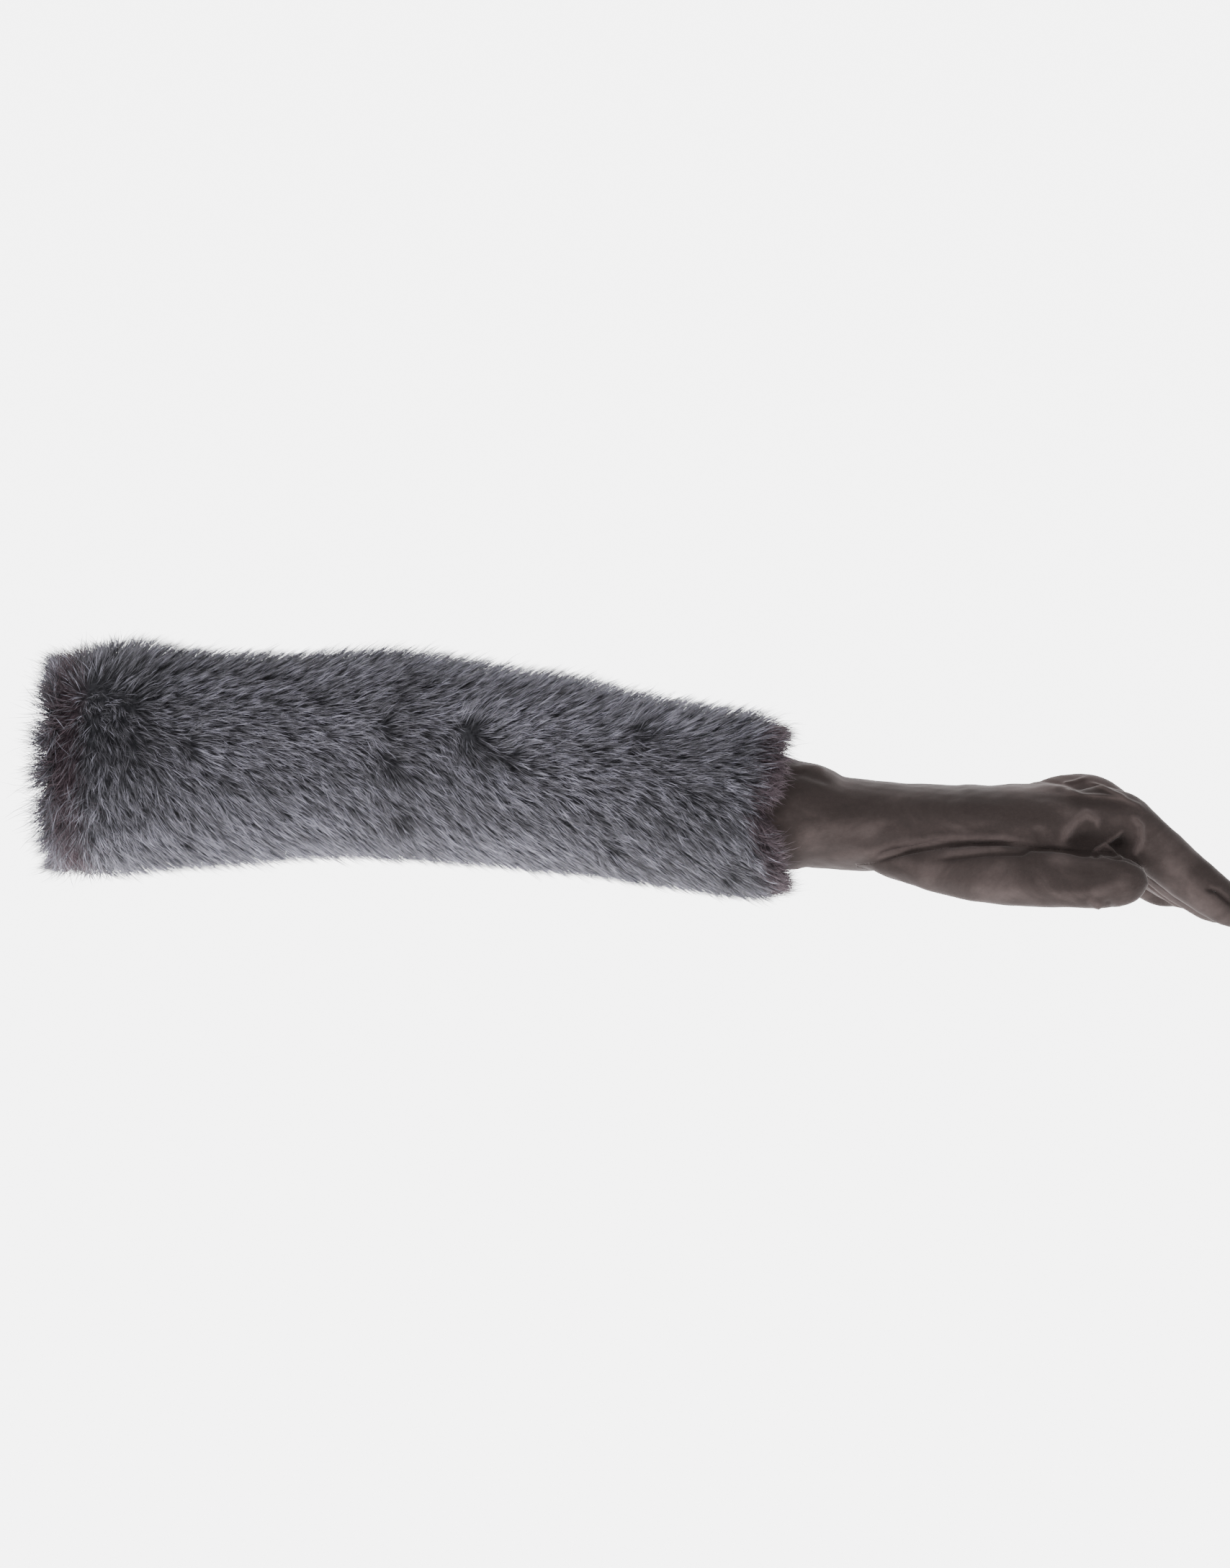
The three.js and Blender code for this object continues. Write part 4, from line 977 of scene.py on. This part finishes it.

# %% [markdown]
# ## Finishes
# Suede is leather with its flesh side out: it has no shine, its nap lies in soft lighter and darker patches
# where it was brushed, and its edges look pale because the fine fibres catch light from behind. Noise at
# three sizes gives the patches, the fibre clumps and the grain, and sheen gives the pale edges. Light and
# shade are also painted into the suede: darker in hollows, creases and along the hand's top, lighter on
# crests and along the thumb's lower edge. A hair is dark at its root and light at its tip, and its tone
# comes from the map that its ribbon carries; the brown hair at both edges is painted darker as shade.


# %% Helpers for nodes
def feed(tree, node, values):
    """Sets the inputs of a node by name or number, each to a value or to another node's output."""
    for key, value in values.items():
        if isinstance(value, bpy.types.NodeSocket):
            tree.links.new(value, node.inputs[key])
        else:
            node.inputs[key].default_value = value


def add(tree, kind, values, **settings):
    """A node of a kind, with its settings and its inputs."""
    node = tree.nodes.new(kind)
    for key, value in settings.items():
        setattr(node, key, value)
    feed(tree, node, values)
    return node


def new_material(name, values):
    """A material with a Principled BSDF whose inputs have these values."""
    material = bpy.data.materials.new(name)
    material.use_nodes = True
    shader = material.node_tree.nodes["Principled BSDF"]
    feed(material.node_tree, shader, values)
    return material, material.node_tree, shader


def noise(tree, place, scale, detail, rough, twist=0.0):
    """Soft noise from 0 to 1 at a place, scale waves to a metre."""
    values = {"Vector": place, "Scale": scale, "Detail": detail, "Roughness": rough, "Distortion": twist}
    return add(tree, "ShaderNodeTexNoise", values).outputs[0]


def combined(tree, how, one, two):
    """Two numbers added, multiplied, or the larger of them."""
    return add(tree, "ShaderNodeMath", {0: one, 1: two}, operation=how).outputs[0]


def ranged(tree, value, low, high, to_low=0.0, to_high=1.0, how="LINEAR"):
    """A value where low to high has become to_low to to_high."""
    values = {0: value, "From Min": low, "From Max": high, "To Min": to_low, "To Max": to_high}
    return add(tree, "ShaderNodeMapRange", values, interpolation_type=how).outputs[0]


def mixed(tree, share, one, two, how="MIX"):
    """Two colours mixed, with a share of the second."""
    return add(tree, "ShaderNodeMix", {0: share, 6: one, 7: two}, data_type="RGBA", blend_type=how).outputs[2]


def ramp(tree, value, stops):
    """The colour that a value finds between stops, each a place and a colour."""
    node = add(tree, "ShaderNodeValToRGB", {0: value})
    band = node.color_ramp
    while len(band.elements) < len(stops):
        band.elements.new(0.5)
    for element, (place, colour) in zip(band.elements, stops):
        element.position, element.color = place, (*colour, 1)
    return node.outputs[0]


def bumped(tree, height, strength, distance):
    """The surface's direction as if it were raised by a height."""
    values = {"Height": height, "Strength": strength, "Distance": distance}
    return add(tree, "ShaderNodeBump", values).outputs[0]


print("Materials before this step:", len(bpy.data.materials))


# %% The nap's noise
def nap_group():
    """Brushed nap: takes a position and gives a mask of soft patches, a mask of small fibre clumps and a
    height for a bump. The patches are stretched noise, the clumps and the grain are finer noise."""
    group = bpy.data.node_groups.new("Brushed nap", "ShaderNodeTree")
    group.interface.new_socket("Position", in_out="INPUT", socket_type="NodeSocketVector")
    for name in ("Patches", "Clumps", "Height"):
        group.interface.new_socket(name, in_out="OUTPUT", socket_type="NodeSocketFloat")
    place = add(group, "NodeGroupInput", {}).outputs[0]
    stretched = add(group, "ShaderNodeMapping", {0: place, "Scale": (0.6, 1, 1)}).outputs[0]
    clumps = noise(group, place, 420, 4, 0.65)
    grain = combined(group, "MULTIPLY", noise(group, place, 2600, 2, 0.6), 0.5)
    height = combined(group, "ADD", grain, clumps)
    add(group, "NodeGroupOutput", {0: noise(group, stretched, 36, 5, 0.55, 0.6), 1: clumps, 2: height})
    return group


nap = nap_group()
print("The nap's group has", len(nap.nodes), "nodes")

# %% The nap's brushing, and its painted light and shade
# How much a fold of one millimetre changes the nap's colour: painted highlight on crests, painted shade in
# creases.
FOLD_PAINTED_LIGHT = 0.45
# Each place: its middle (X, Z), its half length and half height in millimetres, its angle and how much
# lighter (above 0) or darker (below 0) the nap is there. Some places are brushing of the nap; most are
# painted
# light and shade: darker in the hollows by the thumb and the index and along the hand's top, lighter on
# ridges and along the thumb's lower edge.
BRUSHING_AND_PAINTED_LIGHT = [
    ((374, -31), 16, 5, 4, -0.25), ((352, -12), 10, 8, 0, -0.2), ((400, -22), 34, 6, 4, -0.05),
    ((425, -12), 50, 3, 0, -0.3), ((386, -30), 10, 3, 20, 0.1), ((401, -37.5), 13, 2.6, 12, 0.45),
    ((404, -48.5), 15, 4, -10, 0.45), ((432, -30), 14, 3.5, 6, 0.55), ((433, -42), 14, 1.8, 4, 0.5),
    ((463, -30), 4, 2, 0, 0.3), ((452, -33), 16, 4, 10, 0.1), ((470, -20), 26, 5, -4, 0.25),
    ((485, -23.5), 8, 2.6, 0, 0.4), ((478, -33), 3, 6, 75, 0.15), ((484.5, -38.5), 5, 3.5, 0, -0.3),
    ((501, -38), 3, 3.5, 0, -0.3), ((483, -46), 14, 3.5, -2, 0.45), ((483, -61.5), 16, 2.6, 0, 0.5),
    ((460, -56), 18, 4, 4, -0.1), ((488, -17), 16, 2.4, -8, -0.2), ((511.6, -31.5), 6, 1.8, 92, 0.3),
    ((500, -27), 4, 3, 0, 0.3), ((474, -45.5), 7, 2, 0, 0.3), ((448, -62), 12, 3, 8, 0.3),
    ((504, -57), 4, 7, 0, 0.3), ((518, -36), 9, 7, -45, 0.5), ((517, -54), 5, 4, -40, -0.4),
    ((533, -52), 28, 12, -42, 0.4), ((537, -52), 5, 7, -40, -0.2), ((540, -65), 6, 4, -35, 0.6),
    ((548, -70), 12, 5, -35, 0.5), ((483, -6.5), 12, 2.6, 0, 0.5)]


def brushed_and_painted_light(thing):
    """Writes the nap's lightness with its painted light and shade at each point: the sum over the places of
    their strength times a spot, and a share of the folds' height, which paints highlight on crests and shade
    in creases."""
    points = points_of(thing)
    flat, total = seen(points), FOLD_PAINTED_LIGHT * nearness(thing) * np.clip(fold_height(points) / MM, -1.2, 1.2)
    for middle, long, tall, angle, strength in BRUSHING_AND_PAINTED_LIGHT:
        total += strength * spot(flat, middle, long, tall, angle)
    thing.data.attributes.new("brushed_and_painted_light", "FLOAT", "POINT").data.foreach_set("value", total)
    print(thing.name, "is brushed from", round(total.min(), 2), "to", round(total.max(), 2))


for thing in (hand, thumb, arm, *strips):
    brushed_and_painted_light(thing)


# %% Suede
def suede_finish(name, nap, dark, middle, light):
    """Three tones of taupe by the nap's patches and by its brushing with painted light and shade, speckled by
    its clumps, with a rough, faintly pale sheen."""
    material, tree, shader = new_material(name, {
        "Roughness": 0.95, "Sheen Weight": 0.3, "Sheen Roughness": 0.4, "Sheen Tint": (1.0, 0.93, 0.92, 1),
        "Specular IOR Level": 0.12})
    place = add(tree, "ShaderNodeTexCoord", {}).outputs["Object"]
    patches, clumps, height = add(tree, "ShaderNodeGroup", {0: place}, node_tree=nap).outputs
    # This attribute holds painted light and shade along with the nap's brushing.
    nap_strokes_and_painted_light = add(tree, "ShaderNodeAttribute", {}, attribute_name="brushed_and_painted_light").outputs["Fac"]
    lightness = combined(tree, "ADD", combined(tree, "MULTIPLY", nap_strokes_and_painted_light, 0.42), patches)
    tones = ramp(tree, lightness, [(0.3, dark), (0.5, middle), (0.72, light)])
    speckle = ramp(tree, clumps, [(0.3, (0.9, 0.9, 0.9)), (0.7, (1.08, 1.08, 1.08))])
    feed(tree, shader, {
        "Base Color": mixed(tree, 1.0, tones, speckle, "MULTIPLY"),
        "Roughness": ranged(tree, clumps, 0.3, 0.7, 0.86, 1.0),
        "Normal": bumped(tree, height, 0.35, 0.18 * MM)})
    return material


suede = suede_finish(
    "Suede nap", nap, (0.037, 0.0283, 0.0268), (0.051, 0.0392, 0.0373), (0.092, 0.0712, 0.068))
print("The suede's material has", len(suede.node_tree.nodes), "nodes")


# %% Hair and pelt
def hair_finish():
    """Hair from the ribbon's map: the column picks a tone, grey in the first three quarters and purple brown
    in the last, darker as painted shade of the turned edges, and the place along the hair mixes the dark root
    into the light tip."""
    material, tree, shader = new_material("Fur hair", {"Roughness": 0.6, "Specular IOR Level": 0.35})
    uv = add(tree, "ShaderNodeUVMap", {}, uv_map="OFBake").outputs[0]
    column, from_root, _ = add(tree, "ShaderNodeSeparateXYZ", {0: uv}).outputs
    # The brown stops are darker than the greys: painted shade on the hair of the turned edges.
    tips = ramp(tree, column, [
        (0.0, (0.035, 0.034, 0.04)), (0.37, (0.21, 0.204, 0.233)), (0.74, (0.66, 0.64, 0.78)),
        (0.755, (0.035, 0.022, 0.028)), (0.99, (0.27, 0.21, 0.24))])
    roots = ramp(tree, column, [
        (0.0, (0.012, 0.012, 0.014)), (0.74, (0.06, 0.06, 0.07)), (0.755, (0.016, 0.01, 0.013)),
        (0.99, (0.05, 0.036, 0.043))])
    to_tip = ranged(tree, from_root, 0.12, 0.78, how="SMOOTHSTEP")
    feed(tree, shader, {"Base Color": mixed(tree, to_tip, roots, tips)})
    return material


def pelt_finish():
    """Dark underfur with small lighter tufts, turning to purple brown near the hem and the mouth."""
    material, tree, shader = new_material("Fur pelt", {"Roughness": 0.9, "Specular IOR Level": 0.2})
    place = add(tree, "ShaderNodeTexCoord", {}).outputs["Object"]
    tufts = noise(tree, place, 380, 5, 0.65)
    grey = ramp(tree, tufts, [(0.35, (0.014, 0.014, 0.017)), (0.7, (0.06, 0.06, 0.068))])
    brown = ramp(tree, tufts, [(0.35, (0.022, 0.014, 0.018)), (0.7, (0.085, 0.06, 0.07))])
    x = add(tree, "ShaderNodeSeparateXYZ", {0: place}).outputs[0]
    ends = combined(tree, "MAXIMUM", ranged(tree, x, 0.322, 0.338), ranged(tree, x, 0.02, 0.012))
    feed(tree, shader, {
        "Base Color": mixed(tree, ends, grey, brown), "Normal": bumped(tree, tufts, 1.0, 0.8 * MM)})
    return material


hair, underfur = hair_finish(), pelt_finish()
for finish, things in ((suede, (hand, arm, thumb, *strips)), (underfur, (pelt,)), (hair, fur)):
    for thing in things:
        thing.data.materials.clear()
        thing.data.materials.append(finish)
print("Finished pieces:", len(fur) + len(strips) + 4)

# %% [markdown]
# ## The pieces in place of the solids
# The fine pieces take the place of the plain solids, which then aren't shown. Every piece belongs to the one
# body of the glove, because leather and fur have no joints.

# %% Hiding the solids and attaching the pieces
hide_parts("suede_hand")
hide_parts("suede_hand")
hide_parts("thumb")
fourchettes = ("fourchette_index_middle", "fourchette_middle_ring", "fourchette_ring_little")
for strip, node in zip(strips, fourchettes):
    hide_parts(node)
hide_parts("fur_cuff")
for thing in (hand, arm, thumb, *strips):
    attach(thing, "root")
for thing in (pelt, *fur):
    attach(thing, "root")
print("Pieces of suede:", 3 + len(strips), "and of fur:", 1 + len(fur))

# %% [markdown]
# ## The studio
# The glove hangs before a pale sweep: a floor well below that curves up into a wall. Light comes from all
# round, most of it from above, below and behind, so the middle of the glove is its darkest part and its
# edges are pale.


# %% Sweep and lights
def sweep():
    """The floor and wall as one curved strip: a straight floor, a quarter circle and a straight wall."""
    floor, wall, top, curve, bend = -2.4, 3.4, 5.0, 0.8, np.linspace(0, np.pi / 2, 24)
    x, y = np.array([-9.0, 9.5]), np.r_[-9.0, wall - curve + curve * np.sin(bend), wall]
    z = np.r_[floor, floor + curve * (1 - np.cos(bend)), top]
    grid = np.stack(np.broadcast_arrays(x, y[:, None], z[:, None]), -1)
    i = np.arange(len(y) - 1) * 2
    return make_mesh("studio_sweep", grid, np.stack([i, i + 1, i + 3, i + 2], -1).tolist())


def area_light(name, at, aim, size, power):
    """A square soft light at a place, turned to an aim."""
    data = bpy.data.lights.new(name, "AREA")
    data.size, data.energy = size, power
    thing = bpy.data.objects.new(name, data)
    thing.location = at
    thing.rotation_euler = (Vector(aim) - Vector(at)).to_track_quat("-Z", "Y").to_euler()
    bpy.context.collection.objects.link(thing)
    return thing


def for_camera(tree, socket, low, high):
    """Gives a strength the low value for light that falls on things and the high one where the backdrop
    itself is looked at, so that it looks white and yet doesn't wash out the glove's edges."""
    looked_at = add(tree, "ShaderNodeLightPath", {}).outputs["Is Camera Ray"]
    tree.links.new(ranged(tree, looked_at, 0, 1, low, high), socket)


# %% The studio
studio = sweep()
paper, paper_tree, paper_shader = new_material("Studio paper", {
    "Roughness": 0.9, "Specular IOR Level": 0.1, "Base Color": (0.93, 0.93, 0.93, 1),
    "Emission Color": (1, 1, 1, 1)})
for_camera(paper_tree, paper_shader.inputs["Emission Strength"], 1.2, 5)
studio.data.materials.append(paper)
middle = (0.263, 0, -0.02)
lights = [
    area_light("top", (0.25, 0.35, 1.0), middle, 1.3, 7),
    area_light("back left", (-0.6, 1.0, 0.5), middle, 0.9, 8),
    area_light("back right", (1.2, 1.0, 0.5), middle, 0.9, 8),
    area_light("below", (0.25, -0.1, -0.68), middle, 1.2, 5.5),
    area_light("front", (0.05, -1.2, 0.95), middle, 0.4, 8)]
world = bpy.data.worlds.new("Studio")
bpy.context.scene.world = world
world.use_nodes = True
sky = world.node_tree.nodes["Background"]
sky.inputs[0].default_value = (1, 1, 1, 1)
for_camera(world.node_tree, sky.inputs[1], 0.5, 5)

print("Lights:", *(light.name for light in lights))

# %% The camera
camera = bpy.data.objects.new("camera", bpy.data.cameras.new("camera"))
bpy.context.collection.objects.link(camera)
# The picture is FRAME_TALL high, so the lens follows from the distance by similar triangles.
SENSOR, FRAME_TALL = 36, 740.5 * MM
camera.data.sensor_width = SENSOR
camera.data.lens = SENSOR * DISTANCE / FRAME_TALL
camera.location = (PICTURE_MIDDLE[0], -DISTANCE, PICTURE_MIDDLE[1])
camera.rotation_euler = (np.pi / 2, 0, 0)
bpy.context.scene.camera = camera
print("The lens is", round(camera.data.lens, 1), "mm")
